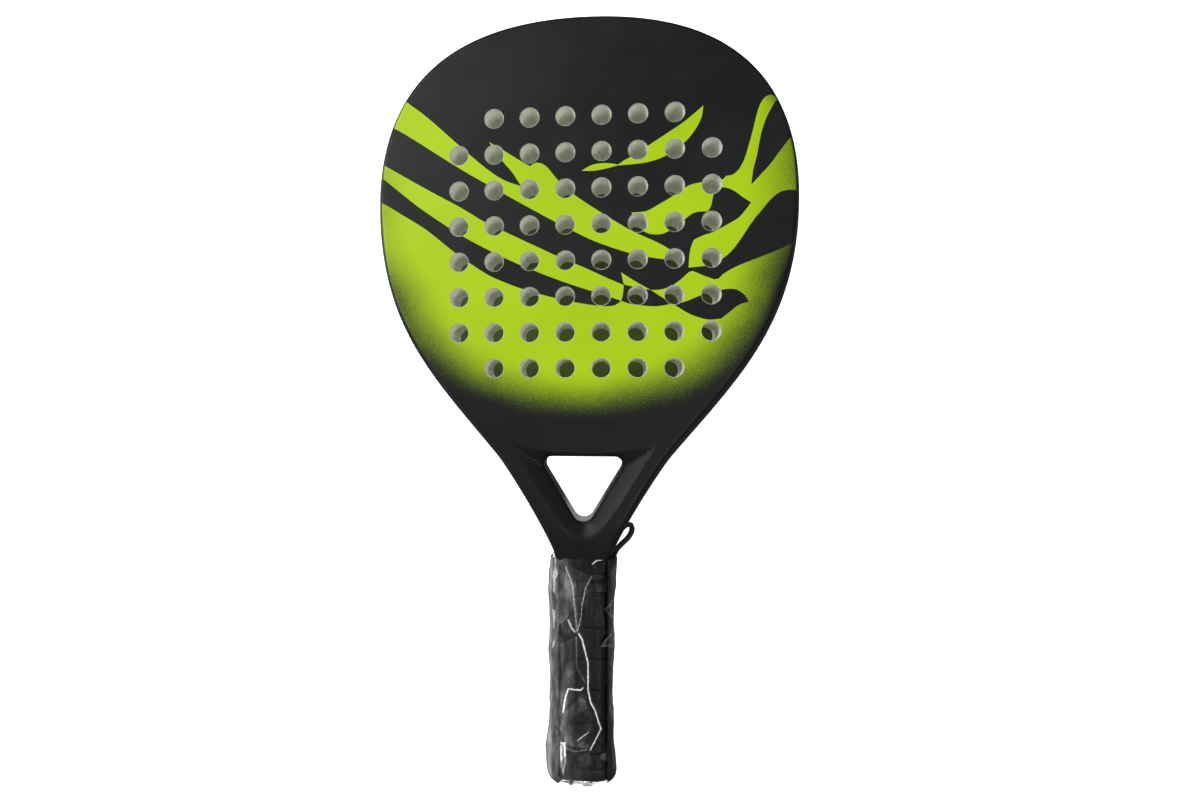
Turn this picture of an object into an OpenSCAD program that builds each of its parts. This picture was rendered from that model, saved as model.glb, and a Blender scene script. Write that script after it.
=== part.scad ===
// Padel racket: a hollow tube round a drilled foam core, two face skins, a throat bridge
// and a built-up handle with a wrist cord, kept in a clear packing sleeve.
// +Z runs from the butt to the tip of the head and the front face looks along -Y.
// Heights are measured from the butt, and the origin is at the middle of the grip.

/* [Head] */
// Length of the head, from the throat opening to its tip
head_length = 261; // [250:1:265]
// Width of the head at its widest
head_width = 251; // [240:1:260]
// Thickness of the head through both faces
head_thickness = 38; // [34:0.5:38]
// Height of the widest place below the tip
widest_below_tip = 110; // [100:1:120]
// Radius of the rim's rounded edges
rim_radius = 3.5; // [2.5:0.25:4.5]
// Thickness of each face skin
skin_thickness = 0.8; // [0.6:0.1:1.2]

/* [Tube] */
// Width of the tube in the plane of the head
hoop_width = 12; // [10:0.5:14]
// Wall of the tube
tube_wall = 1.6; // [1.2:0.1:2]

/* [Holes] */
// Bore of the holes in the head
hole_bore = 11; // [9:0.5:13]
// Distance between the holes
hole_pitch = 21; // [19:0.5:23]
// Rows and columns of the grid, which has no hole at its four corners
hole_rows = 8; // [6:1:9]
// Height of the lowest row above the throat opening
first_row_height = 52; // [45:1:60]
// Chamfer that breaks the edge of each hole
hole_chamfer = 0.3; // [0.1:0.1:0.5]
// Least foam left between a hole and the tube
hole_margin = 2; // [1:0.5:6]

/* [Throat] */
// Height of the lowest point of the throat opening above the neck
throat_rise = 20.4; // [16:0.2:26]
// Height of the throat opening
throat_height = 39; // [34:1:44]
// Width of the throat opening at its top
throat_width = 46.6; // [40:0.2:52]
// Radius of the opening's two top corners
throat_top_radius = 5; // [4:0.5:7]
// Radius of the opening's bottom corner
throat_bottom_radius = 6.5; // [5:0.5:8]
// Height of the bridge between the opening and the core
bridge_height = 18; // [14:1:24]
// Width of the neck where it leaves the handle
neck_width = 35.8; // [34:0.2:40]

/* [Handle] */
// Height of the neck above the butt
handle_length = 134.6; // [130:0.2:150]
// Width of the grip over its tape
grip_width = 31; // [29:0.5:34]
// Depth of the grip over its tape, front to back
grip_depth = 28; // [26:0.5:30]
// Thickness of the grip tape
tape_thickness = 2; // [1.5:0.1:2.5]
// Height of the top edge of the grip tape
grip_top = 118; // [112:1:118]
// Width of the flared butt
butt_width = 36; // [34:0.5:38]
// Depth of the flared butt, front to back
butt_depth = 31; // [30:0.5:32]
// Height of the butt cap's bare lip
lip_height = 8; // [7:0.5:10]
// Height at which the flare ends
flare_height = 24; // [20:1:28]
// Wall of the handle shells at the front and the back
pallet_wall = 3; // [2:0.25:4]
// Wall of the handle shells at the sides
pallet_side_wall = 1.5; // [1:0.25:2.5]
// Gap between the tube's two legs
leg_gap = 3; // [2:0.5:5]

/* [Wrist cord and sleeve] */
// Diameter of the wrist cord
cord_diameter = 3.5; // [3:0.1:3.6]
// Wall of the packing sleeve
film_wall = 0.3; // [0.2:0.05:0.5]
// Height of the sleeve's open top
film_top = 133; // [126:1:133]
// Depth of the sleeve's closed end below the butt
film_drop = 6.6; // [5:0.2:9]

/* [Hidden] */
$fn = 48;
fit_gap = 0.1;
past = 1;
grip_centre = 68;

// Heights above the butt
throat_bottom = handle_length + throat_rise;
throat_top = throat_bottom + throat_height;
tip_height = throat_top + head_length;
widest_height = tip_height - widest_below_tip;
bridge_top = throat_top + bridge_height;
skin_bottom = throat_bottom + throat_bottom_radius;
first_row = throat_top + first_row_height;

// Handle sections, from the outside in
pallet_width = grip_width - 2 * tape_thickness;
pallet_depth = grip_depth - 2 * tape_thickness;
core_width = pallet_width - 2 * pallet_side_wall;
core_depth = pallet_depth - 2 * pallet_wall;
leg_outer = core_width / 2 - fit_gap;
leg_inner = leg_gap / 2;
leg_depth = core_depth - 2 * fit_gap;
tube_half_depth = head_thickness / 2 - skin_thickness;
grip_corner = 8;
inner_corner = grip_corner - tape_thickness;
core_radius = 1;
butt_corner = 11;
cap_floor_top = 10;
spigot_wall = 2.5;
spigot_height = 10;
end_gap = 2;
leg_bottom = flare_height + spigot_height + end_gap;
neck_drop = 28.6;
neck_start = handle_length - neck_drop;
full_depth_gap = 1;
neck_end = throat_bottom - full_depth_gap;
pallet_top = neck_start - end_gap;
finishing_half = 5;
finishing_wall = 0.8;

// Curves of the outline's right side, from the handle up: lengths and angles of their ends
arm_top = [53, throat_top];
arm_angle = 40;
leg_reach = 20;
neck_angle = 15;
neck_reach = 10;
arm_reach = 11;
flank_reach = 62;
widest_reach_down = 72;
widest_reach_up = 51;
crown_reach = 103;

function smooth(low, high, v) =
    let (t = min(1, max(0, (v - low) / (high - low)))) t * t * (3 - 2 * t);
function mix(a, b, t) = a + (b - a) * t;
function bezier(p, t) =
    pow(1 - t, 3) * p[0] + 3 * pow(1 - t, 2) * t * p[1]
    + 3 * (1 - t) * t * t * p[2] + pow(t, 3) * p[3];
function bezier_way(p, t) =
    let (d = pow(1 - t, 2) * (p[1] - p[0]) + 2 * (1 - t) * t * (p[2] - p[1])
        + t * t * (p[3] - p[2]))
    d / norm(d);
function upward(angle) = [sin(angle), cos(angle)];
function arc(centre, radius, from, to, steps) =
    [for (i = [0 : steps]) let (a = mix(from, to, i / steps))
        centre + radius * [cos(a), sin(a)]];
function reversed(list) = [for (i = [len(list) - 1 : -1 : 0]) list[i]];
function mirrored(points) = [for (p = reversed(points)) [-p[0], p[1]]];
// Outline through the right side's points and their mirror images; the last point has X = 0
function both_sides(right) =
    concat(right, [for (i = [len(right) - 2 : -1 : 0]) [-right[i][0], right[i][1]]]);
function rounded_box(width, depth, radius) =
    [for (corner = [0 : 3])
        let (sx = (corner == 0 || corner == 3) ? 1 : -1, sy = corner < 2 ? 1 : -1)
        each arc([sx * (width / 2 - radius), sy * (depth / 2 - radius)], radius,
            90 * corner, 90 * corner + 90, 5)];

// Outline of the racket's right side: [curve, number of steps] from the leg's end to the tip
neck_point = [neck_width / 2, handle_length];
widest_point = [head_width / 2, widest_height];
tip_point = [0, tip_height];
leg_curve = [[leg_outer, leg_bottom], [leg_outer, leg_bottom + leg_reach],
    [leg_outer, neck_start - leg_reach], [leg_outer, neck_start]];
neck_curve = [[leg_outer, neck_start], [leg_outer, neck_start + neck_reach],
    neck_point - neck_reach * upward(neck_angle), neck_point];
arm_curve = [neck_point, neck_point + arm_reach * upward(neck_angle),
    arm_top - arm_reach * upward(arm_angle), arm_top];
flank_curve = [arm_top, arm_top + flank_reach * upward(arm_angle),
    widest_point - [0, widest_reach_down], widest_point];
crown_curve = [widest_point, widest_point + [0, widest_reach_up],
    tip_point + [crown_reach, 0], tip_point];
curves = [[leg_curve, 2], [neck_curve, 6], [arm_curve, 8], [flank_curve, 16], [crown_curve, 18]];
stations = [for (c = curves) for (i = [0 : c[1] - 1]) [c[0], i / c[1]]];
outer_edge = concat([for (s = stations) bezier(s[0], s[1])], [tip_point]);
inward = concat(
    [for (s = stations) let (d = bezier_way(s[0], s[1])) [-d[1], d[0]]],
    [[0, -1]]);

// Throat opening: two top corners and a bottom corner, joined by straight sides
top_corner = [throat_width / 2 - throat_top_radius, throat_top - throat_top_radius];
bottom_corner = [0, throat_bottom + throat_bottom_radius];
corner_way = top_corner - bottom_corner;
side_angle = atan2(corner_way[1], corner_way[0])
    - acos((throat_bottom_radius - throat_top_radius) / norm(corner_way));
side_normal = [cos(side_angle), sin(side_angle)];
side_offset = side_normal * bottom_corner + throat_bottom_radius;
corner_arc = arc(top_corner, throat_top_radius, side_angle, 90, 8);
bottom_arc = arc(bottom_corner, throat_bottom_radius, -90, side_angle, 6);
opening_side = concat(bottom_arc, corner_arc);
opening_outline = concat(opening_side, mirrored(opening_side));

// Inner edge of the tube: a set width round the head, then along the throat opening
arm_blend_start = throat_top + 6;
arm_blend_end = throat_top + 51;
least_turn = 0.01;
function tube_width(i) =
    let (
        o = outer_edge[i],
        n = inward[i],
        to_side = (side_offset - side_normal * o) / (side_normal * n),
        to_gap = (leg_inner - o[0]) / min(n[0], -least_turn),
        arm = 1 - smooth(arm_blend_start, arm_blend_end, o[1])
    )
    o[1] > arm_blend_end ? hoop_width : mix(hoop_width, min(to_side, to_gap), arm);
inner_edge = [for (i = [0 : len(outer_edge) - 1]) outer_edge[i] + tube_width(i) * inward[i]];
face_edge = [for (i = [0 : len(outer_edge) - 1]) outer_edge[i] + rim_radius * inward[i]];
last = len(outer_edge) - 1;
core_first = [for (i = [0 : last]) if (inner_edge[i][1] >= bridge_top) i][0];

function half_depth(z) = mix(leg_depth / 2, tube_half_depth, smooth(neck_start, neck_end, z));

// Bottom line of the core, which is the bridge's top: right corner to left corner
core_corner = inner_edge[core_first];
bridge_sag = 5;
bridge_line = [for (i = [0 : 12]) let (s = mix(1, -1, i / 12))
    [s * core_corner[0], core_corner[1] - bridge_sag * (1 - s * s)]];
core_side = [for (i = [core_first : last]) inner_edge[i]];
core_outline = concat(both_sides(core_side),
    [for (i = [1 : len(bridge_line) - 2]) reversed(bridge_line)[i]]);

// Holes of the grid that lie in the foam with the margin all round
core_lookup = [for (p = core_side) [p[1], p[0]]];
function in_core(x, z) =
    z < tip_height - hoop_width && z > core_corner[1] && abs(x) < lookup(z, core_lookup);
function hole_fits(x, z) =
    let (reach = hole_bore / 2 + hole_margin,
        inside = [for (a = [0 : 30 : 330]) in_core(x + reach * cos(a), z + reach * sin(a)) ? 1 : 0])
    min(inside) == 1;
function on_grid(row, column) =
    !((row == 0 || row == hole_rows - 1) && (column == 0 || column == hole_rows - 1));
hole_places = [for (row = [0 : hole_rows - 1]) for (column = [0 : hole_rows - 1])
    let (x = (column - (hole_rows - 1) / 2) * hole_pitch, z = first_row + row * hole_pitch)
    if (on_grid(row, column) && hole_fits(x, z)) [x, z]];

// Wrist cord: both strands lie behind the handle, and its loop leaves the sleeve at the right
cord_radius = cord_diameter / 2;
strand_right = 7.2;
strand_left = 3.2;
strand_hole = 3.5;
strand_back = 17.8;
cord_route = [
    [7.2, 3.5, 13.5], [7.2, 3.5, 9], [7.2, 3.5, 5.5], [7.2, 4.5, 1.9], [7.2, 7.1, -0.7],
    [7.2, 10.6, -1.6], [7.2, 14.2, -0.7], [7.2, 16.8, 1.9], [7.2, 17.8, 5.5], [7.2, 17.8, 12],
    [7.2, 17.8, 24], [7.2, 17.8, 40], [7.2, 17.8, 56], [7.2, 17.8, 72], [7.2, 17.8, 88],
    [7.2, 17.8, 102], [10.4, 17.1, 112], [14.6, 15.3, 120], [17.8, 12.6, 127], [19.6, 9.7, 133],
    [23.5, 7.8, 137], [28, 7, 141], [30.4, 8.6, 146], [29.5, 13, 149.5], [26.4, 17.4, 149],
    [22.8, 19.1, 145.5], [18.6, 19.2, 139.5], [14.4, 19.2, 133.5], [9.5, 19.1, 126],
    [5.4, 18.6, 117], [3.2, 17.8, 106],
    [3.2, 17.8, 88], [3.2, 17.8, 72], [3.2, 17.8, 56], [3.2, 17.8, 40], [3.2, 17.8, 24],
    [3.2, 17.8, 12], [3.2, 17.8, 5.5], [3.2, 16.8, 1.9], [3.2, 14.2, -0.7], [3.2, 10.6, -1.6],
    [3.2, 7.1, -0.7], [3.2, 4.5, 1.9], [3.2, 3.5, 5.5], [3.2, 3.5, 9], [3.2, 3.5, 13.5]];
cord_sides = 8;
knot_place = [(strand_left + strand_right) / 2, 1];
knot_room = [core_width / 2, core_depth / 2] - knot_place;
knot_radius = min(knot_room) - spigot_wall - fit_gap;
knot_centre = [knot_place[0], knot_place[1], cap_floor_top + knot_radius];
slider_size = [12.6, 7, 14];
slider_corner = 2.5;
slider_bottom = 50;

// Packing sleeve: one section all along, round the butt, the cord and its slider
film_side_room = 4.3;
film_front_room = 1;
film_back_room = 2.5;
film_half_width = butt_width / 2 + film_side_room;
film_front = butt_depth / 2 + film_front_room;
film_back = strand_back + cord_radius + film_back_room;
film_depth = film_front + film_back;
film_middle = (film_back - film_front) / 2;

module from_butt() {
    translate([0, 0, -grip_centre]) children();
}

// Extrudes an outline drawn in X and Z from y0 back to y1
module slab(y0, y1) {
    translate([0, y1, 0]) rotate([90, 0, 0]) linear_extrude(y1 - y0) children();
}

// Solid through rings of equal length, with flat ends; each ring is a list of 3-D points
module skin_rings(rings) {
    count = len(rings[0]);
    points = [for (r = rings) each r];
    wall = [for (i = [0 : len(rings) - 2]) for (j = [0 : count - 1])
        let (a = i * count + j, b = i * count + (j + 1) % count)
        each [[a, b + count, b], [a, a + count, b + count]]];
    low = [for (j = [0 : count - 1]) j];
    high = [for (j = [count - 1 : -1 : 0]) (len(rings) - 1) * count + j];
    polyhedron(points, concat(wall, [low, high]));
}

// Hollow sweep: outer and inner rings in pairs, joined by flat ends
module hollow_sweep(outer, inner) {
    count = len(outer[0]);
    rings = len(outer);
    shift = rings * count;
    points = concat([for (r = outer) each r], [for (r = inner) each r]);
    outside = [for (i = [0 : rings - 2]) for (j = [0 : count - 1])
        let (a = i * count + j, b = i * count + (j + 1) % count)
        each [[a, b + count, b], [a, a + count, b + count]]];
    inside = [for (f = outside) [f[0] + shift, f[2] + shift, f[1] + shift]];
    start = [for (j = [0 : count - 1]) let (a = j, b = (j + 1) % count)
        each [[a, b + shift, a + shift], [a, b, b + shift]]];
    end_ring = (rings - 1) * count;
    end = [for (j = [0 : count - 1]) let (a = end_ring + j, b = end_ring + (j + 1) % count)
        each [[a, b + shift, b], [a, a + shift, b + shift]]];
    polyhedron(points, concat(outside, inside, start, end));
}

// Ring of the tube's section at one station; inset is 0 outside and tube_wall inside
function tube_ring(o, i, inset) =
    let (
        length = norm(i - o),
        way = (i - o) / length,
        radius = rim_radius - inset,
        corner = [for (k = [0 : 3])
            [inset + radius * (1 - cos(30 * k)), inset + radius * (1 - sin(30 * k))]],
        front = concat(corner, [[length - inset, inset]])
    )
    concat(
        [for (c = front) let (p = o + way * c[0]) [p[0], -(half_depth(p[1]) - c[1]), p[1]]],
        [for (c = reversed(front)) let (p = o + way * c[0]) [p[0], half_depth(p[1]) - c[1], p[1]]]
    );
function mirrored_ring(ring) = [for (p = ring) [-p[0], p[1], p[2]]];
function tube_rings(inset) =
    let (right = [for (i = [0 : last]) tube_ring(outer_edge[i], inner_edge[i], inset)])
    concat(right, [for (i = [last - 1 : -1 : 0]) mirrored_ring(right[i])]);

module frame_tube() {
    color([0.09, 0.09, 0.1]) from_butt() hollow_sweep(tube_rings(0), tube_rings(tube_wall));
}

module throat_bridge() {
    side = [for (i = [0 : core_first])
        if (inner_edge[i][1] > corner_arc[0][1] + fit_gap) inner_edge[i]];
    right = concat(reversed(corner_arc), side);
    outline = concat(right, [for (i = [1 : len(bridge_line) - 2]) bridge_line[i]], mirrored(right));
    color([0.13, 0.13, 0.14]) from_butt()
        slab(-tube_half_depth, tube_half_depth) polygon(outline);
}

// Straight bores through the head, from y0 to y1
module hole_bores(y0, y1) {
    for (p = hole_places)
        translate([p[0], y1, p[1]]) rotate([90, 0, 0]) cylinder(h = y1 - y0, d = hole_bore);
}

// Chamfers at the outer edges of the holes in the face at y, which looks along side * Y
module hole_chamfers(y, side) {
    for (p = hole_places)
        translate([p[0], y - side * hole_chamfer, p[1]]) rotate([-90 * side, 0, 0])
            cylinder(h = hole_chamfer, d1 = hole_bore, d2 = hole_bore + 2 * hole_chamfer);
}

module foam_core() {
    color([0.63, 0.63, 0.56]) from_butt() difference() {
        slab(-tube_half_depth, tube_half_depth) polygon(core_outline);
        hole_bores(-tube_half_depth - past, tube_half_depth + past);
    }
}

// Face skin on one side of the head: side is -1 at the front and 1 at the back
module face_skin(side) {
    high = [for (p = face_edge) if (p[1] > skin_bottom + fit_gap) p];
    foot = [lookup(skin_bottom, [for (p = face_edge) [p[1], p[0]]]), skin_bottom];
    right = concat([foot], high);
    outline = both_sides(right);
    near = min(side * tube_half_depth, side * head_thickness / 2);
    difference() {
        slab(near, near + skin_thickness) polygon(outline);
        slab(near - past, near + skin_thickness + past) polygon(opening_outline);
        hole_bores(near - past, near + skin_thickness + past);
        hole_chamfers(side * head_thickness / 2, side);
    }
}

module front_face() {
    color([0.66, 0.85, 0.1]) from_butt() face_skin(-1);
}

module back_face() {
    color([0.66, 0.85, 0.1]) from_butt() face_skin(1);
}

module handle_filler() {
    side_start = bottom_arc[len(bottom_arc) - 1];
    side = [for (p = inner_edge) if (p[1] < side_start[1] - fit_gap) p];
    right = concat(side, reversed(bottom_arc));
    outline = both_sides(right);
    heights = concat([for (p = side) p[1]], [throat_top]);
    profile = concat([for (z = heights) [half_depth(z), z]],
        [for (z = reversed(heights)) [-half_depth(z), z]]);
    color([0.3, 0.3, 0.28]) from_butt() intersection() {
        slab(-head_thickness, head_thickness) polygon(outline);
        translate([-grip_width, 0, 0]) rotate([90, 0, 90])
            linear_extrude(2 * grip_width) polygon(profile);
    }
}

// Half of the shell round the tube's legs: side is -1 at the front and 1 at the back
module pallet(side) {
    difference() {
        translate([0, 0, flare_height]) linear_extrude(pallet_top - flare_height)
            polygon(rounded_box(pallet_width, pallet_depth, inner_corner));
        translate([0, 0, flare_height - past])
            linear_extrude(pallet_top - flare_height + 2 * past)
            polygon(rounded_box(core_width, core_depth, core_radius));
        translate([-grip_width, side < 0 ? 0 : -grip_depth, flare_height - past])
            cube([2 * grip_width, grip_depth, pallet_top]);
    }
}

module pallet_front() {
    color([0.42, 0.42, 0.4]) from_butt() pallet(-1);
}

module pallet_back() {
    color([0.42, 0.42, 0.4]) from_butt() pallet(1);
}

module leg_plugs() {
    leg_width = leg_outer - leg_inner;
    head_height = 1.5;
    stem_height = 8;
    head_corner = 2;
    color([0.2, 0.2, 0.2]) from_butt()
        for (side = [-1, 1]) translate([side * (leg_outer + leg_inner) / 2, 0, 0]) {
            translate([0, 0, leg_bottom - head_height]) linear_extrude(head_height)
                polygon(rounded_box(leg_width, leg_depth, head_corner));
            translate([0, 0, leg_bottom]) linear_extrude(stem_height)
                polygon(rounded_box(leg_width - 2 * tube_wall - 2 * fit_gap,
                    leg_depth - 2 * tube_wall - 2 * fit_gap, rim_radius - tube_wall));
        }
}

function flat_ring(width, depth, radius, z) =
    [for (p = rounded_box(width, depth, radius)) [p[0], p[1], z]];

module butt_cap() {
    lip_wall = 4;
    dish_depth = 7;
    dish_corner = 6;
    notch_height = 4;
    strand_gap = 0.3;
    spigot_corner = 2;
    color([0.12, 0.12, 0.12]) from_butt() difference() {
        union() {
            linear_extrude(lip_height) polygon(rounded_box(butt_width, butt_depth, butt_corner));
            skin_rings([
                flat_ring(butt_width - 2 * tape_thickness, butt_depth - 2 * tape_thickness,
                    butt_corner - tape_thickness, lip_height),
                flat_ring(pallet_width, pallet_depth, inner_corner, flare_height)]);
            translate([0, 0, flare_height]) linear_extrude(spigot_height)
                polygon(rounded_box(core_width - 2 * fit_gap, core_depth - 2 * fit_gap,
                    core_radius));
        }
        translate([0, 0, -past]) linear_extrude(dish_depth + past)
            polygon(rounded_box(butt_width - 2 * lip_wall, butt_depth - 2 * lip_wall,
                dish_corner));
        translate([0, 0, cap_floor_top]) linear_extrude(flare_height + spigot_height)
            polygon(rounded_box(core_width - 2 * spigot_wall, core_depth - 2 * spigot_wall,
                spigot_corner));
        for (x = [strand_left, strand_right])
            translate([x, strand_hole, 0]) cylinder(h = cap_floor_top + past, r = cord_radius + strand_gap);
        translate([strand_left - cord_radius - strand_gap, 0, -past])
            cube([strand_right - strand_left + cord_diameter + 2 * strand_gap, butt_depth,
                notch_height + past]);
    }
}

module grip_tape() {
    outer = [
        flat_ring(butt_width, butt_depth, butt_corner, lip_height),
        flat_ring(grip_width, grip_depth, grip_corner, flare_height),
        flat_ring(grip_width, grip_depth, grip_corner, grip_top)];
    inner = [
        flat_ring(butt_width - 2 * tape_thickness, butt_depth - 2 * tape_thickness,
            butt_corner - tape_thickness, lip_height),
        flat_ring(pallet_width, pallet_depth, inner_corner, flare_height),
        flat_ring(pallet_width, pallet_depth, inner_corner, grip_top)];
    color([0.14, 0.14, 0.15]) from_butt() hollow_sweep(outer, inner);
}

module finishing_tape() {
    neck_half = lookup(grip_top + finishing_half, [for (p = outer_edge) [p[1], p[0]]]);
    neck_depth = half_depth(grip_top + finishing_half);
    width = grip_width + 2 * finishing_wall;
    depth = grip_depth + 2 * finishing_wall;
    color([0.1, 0.1, 0.11]) from_butt() difference() {
        translate([0, 0, grip_top - finishing_half]) linear_extrude(2 * finishing_half)
            polygon(rounded_box(width, depth, grip_corner + finishing_wall));
        translate([0, 0, grip_top - finishing_half - past])
            linear_extrude(finishing_half + past)
            polygon(rounded_box(grip_width, grip_depth, grip_corner));
        translate([0, 0, grip_top - past]) linear_extrude(finishing_half + 2 * past)
            polygon(rounded_box(2 * neck_half + 2 * fit_gap, 2 * neck_depth + 2 * fit_gap,
                rim_radius));
    }
}

// Smooth curve through the route's points, with one more point halfway between each two
function between(a, b, c, d) = (9 * (b + c) - (a + d)) / 16;
cord_last = len(cord_route) - 1;
cord_line = concat([for (i = [0 : cord_last - 1])
    let (a = cord_route[max(i - 1, 0)], b = cord_route[i], c = cord_route[i + 1],
        d = cord_route[min(i + 2, cord_last)])
    each [b, if (norm(c - b) > 5 && norm(c - b) < 12) between(a, b, c, d)]],
    [cord_route[cord_last]]);

function unit(v) = v / norm(v);
function cord_way(i) =
    unit(cord_line[min(i + 1, len(cord_line) - 1)] - cord_line[max(i - 1, 0)]);
// Each ring's side vector is the last one's, turned as little as the bend asks
function cord_frames(i, side) =
    i == len(cord_line) ? [] :
    let (way = cord_way(i), s = unit(side - way * (side * way)))
    concat([[cord_line[i], s, cross(way, s)]], cord_frames(i + 1, s));

module wrist_cord() {
    rings = [for (f = cord_frames(0, [1, 0, 0]))
        [for (k = [0 : cord_sides - 1]) let (a = 360 * k / cord_sides)
            f[0] + cord_radius * (cos(a) * f[1] + sin(a) * f[2])]];
    color([0.07, 0.07, 0.07]) from_butt() skin_rings(rings);
}

module cord_knot() {
    color([0.07, 0.07, 0.07]) from_butt() translate(knot_centre) sphere(r = knot_radius);
}

module cord_slider() {
    bore_gap = 0.15;
    color([0.05, 0.05, 0.05]) from_butt() difference() {
        translate([knot_centre[0], strand_back, slider_bottom]) linear_extrude(slider_size[2])
            polygon(rounded_box(slider_size[0], slider_size[1], slider_corner));
        for (x = [strand_left, strand_right])
            translate([x, strand_back, slider_bottom - past])
                cylinder(h = slider_size[2] + 2 * past, r = cord_radius + bore_gap);
    }
}

module film_sleeve() {
    corner = 10;
    color([0.85, 0.88, 0.9, 0.35]) from_butt() translate([0, film_middle, 0]) difference() {
        translate([0, 0, -film_drop]) linear_extrude(film_top + film_drop)
            polygon(rounded_box(2 * (film_half_width + film_wall), film_depth + 2 * film_wall,
                corner + film_wall));
        translate([0, 0, film_wall - film_drop]) linear_extrude(film_top + film_drop)
            polygon(rounded_box(2 * film_half_width, film_depth, corner));
    }
}

frame_tube();
throat_bridge();
foam_core();
front_face();
back_face();
handle_filler();
pallet_front();
pallet_back();
leg_plugs();
butt_cap();
grip_tape();
finishing_tape();
wrist_cord();
cord_knot();
cord_slider();
film_sleeve();
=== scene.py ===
import math
import random

import bpy
import numpy as np
from mathutils import Matrix, Vector, geometry


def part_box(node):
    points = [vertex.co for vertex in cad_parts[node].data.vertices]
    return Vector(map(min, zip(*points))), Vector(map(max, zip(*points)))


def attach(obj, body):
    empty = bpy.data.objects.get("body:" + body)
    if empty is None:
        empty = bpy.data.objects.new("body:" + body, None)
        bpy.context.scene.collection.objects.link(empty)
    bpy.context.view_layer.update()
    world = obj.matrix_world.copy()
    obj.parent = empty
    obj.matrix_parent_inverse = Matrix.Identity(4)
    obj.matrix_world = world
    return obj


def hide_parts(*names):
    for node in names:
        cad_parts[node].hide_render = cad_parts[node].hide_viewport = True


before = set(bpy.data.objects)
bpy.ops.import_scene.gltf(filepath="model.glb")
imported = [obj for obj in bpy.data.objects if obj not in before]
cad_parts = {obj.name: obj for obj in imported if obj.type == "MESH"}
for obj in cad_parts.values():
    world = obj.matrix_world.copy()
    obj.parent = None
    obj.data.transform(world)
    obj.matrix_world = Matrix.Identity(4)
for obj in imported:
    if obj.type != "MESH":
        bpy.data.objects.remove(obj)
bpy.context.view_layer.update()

# Lengths are in millimetres and heights are measured from the butt, unless a name ends in _m
MM = 0.001
BUTT_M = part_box("butt_cap")[0].z
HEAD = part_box("frame_tube")
HALF_WIDTH = HEAD[1].x / MM
TIP = (HEAD[1].z - BUTT_M) / MM
HALF_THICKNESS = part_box("front_face")[1].y / -MM + 0.8
SKIN = 0.8
GRIP_LOW, GRIP_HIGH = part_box("grip_tape")
GRIP_HALF_DEPTH = 14.0
GRIP_HALF_WIDTH = 15.5
GRIP_TOP = (GRIP_HIGH.z - BUTT_M) / MM
BUTT_HALF_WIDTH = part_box("butt_cap")[1].x / MM
BUTT_HALF_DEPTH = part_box("butt_cap")[1].y / MM
FILM_TOP = (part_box("film_sleeve")[1].z - BUTT_M) / MM


def at(x, y, z):
    """Place in the frame, in metres, of a point in millimetres from the butt."""
    return Vector((x * MM, y * MM, BUTT_M + z * MM))


# ---------------------------------------------------------------- camera and light

CAMERA_PLACE = (12.0, -499.0, 225.0)
CAMERA_TURN = math.radians(6.34)
CAMERA_DIP = math.radians(0.92)
CAMERA_LENS = 24.5
CAMERA_SHIFT = (0.0726, 0.0142)


def make_camera():
    data = bpy.data.cameras.new("camera")
    data.lens = CAMERA_LENS
    data.sensor_width = 36.0
    data.shift_x, data.shift_y = CAMERA_SHIFT
    camera = bpy.data.objects.new("camera", data)
    bpy.context.scene.collection.objects.link(camera)
    camera.location = at(*CAMERA_PLACE)
    way = Vector((-math.sin(CAMERA_TURN), math.cos(CAMERA_TURN), -math.sin(CAMERA_DIP)))
    camera.rotation_euler = way.to_track_quat("-Z", "Y").to_euler()
    bpy.context.scene.camera = camera


def area_light(name, place, target, size, power, colour=(1, 1, 1)):
    data = bpy.data.lights.new(name, "AREA")
    data.shape = "RECTANGLE"
    data.size, data.size_y = size[0] * MM, size[1] * MM
    data.energy = power
    data.color = colour
    lamp = bpy.data.objects.new(name, data)
    bpy.context.scene.collection.objects.link(lamp)
    lamp.location = at(*place)
    lamp.rotation_euler = (at(*target) - at(*place)).to_track_quat("-Z", "Y").to_euler()


make_camera()
area_light("softbox_key", (-800, -1080, 900), (-20, 0, 250), (800, 900), 21.0)
area_light("softbox_fill", (430, -900, -60), (0, 0, 300), (420, 420), 3.6)
area_light("softbox_back", (-150, 700, 620), (0, 0, 230), (900, 700), 4.5)
area_light("softbox_side", (-1100, -60, 330), (0, 0, 230), (260, 900), 8.0)
bpy.context.scene.view_settings.view_transform = "Standard"


# ---------------------------------------------------------------- shader helpers

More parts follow.
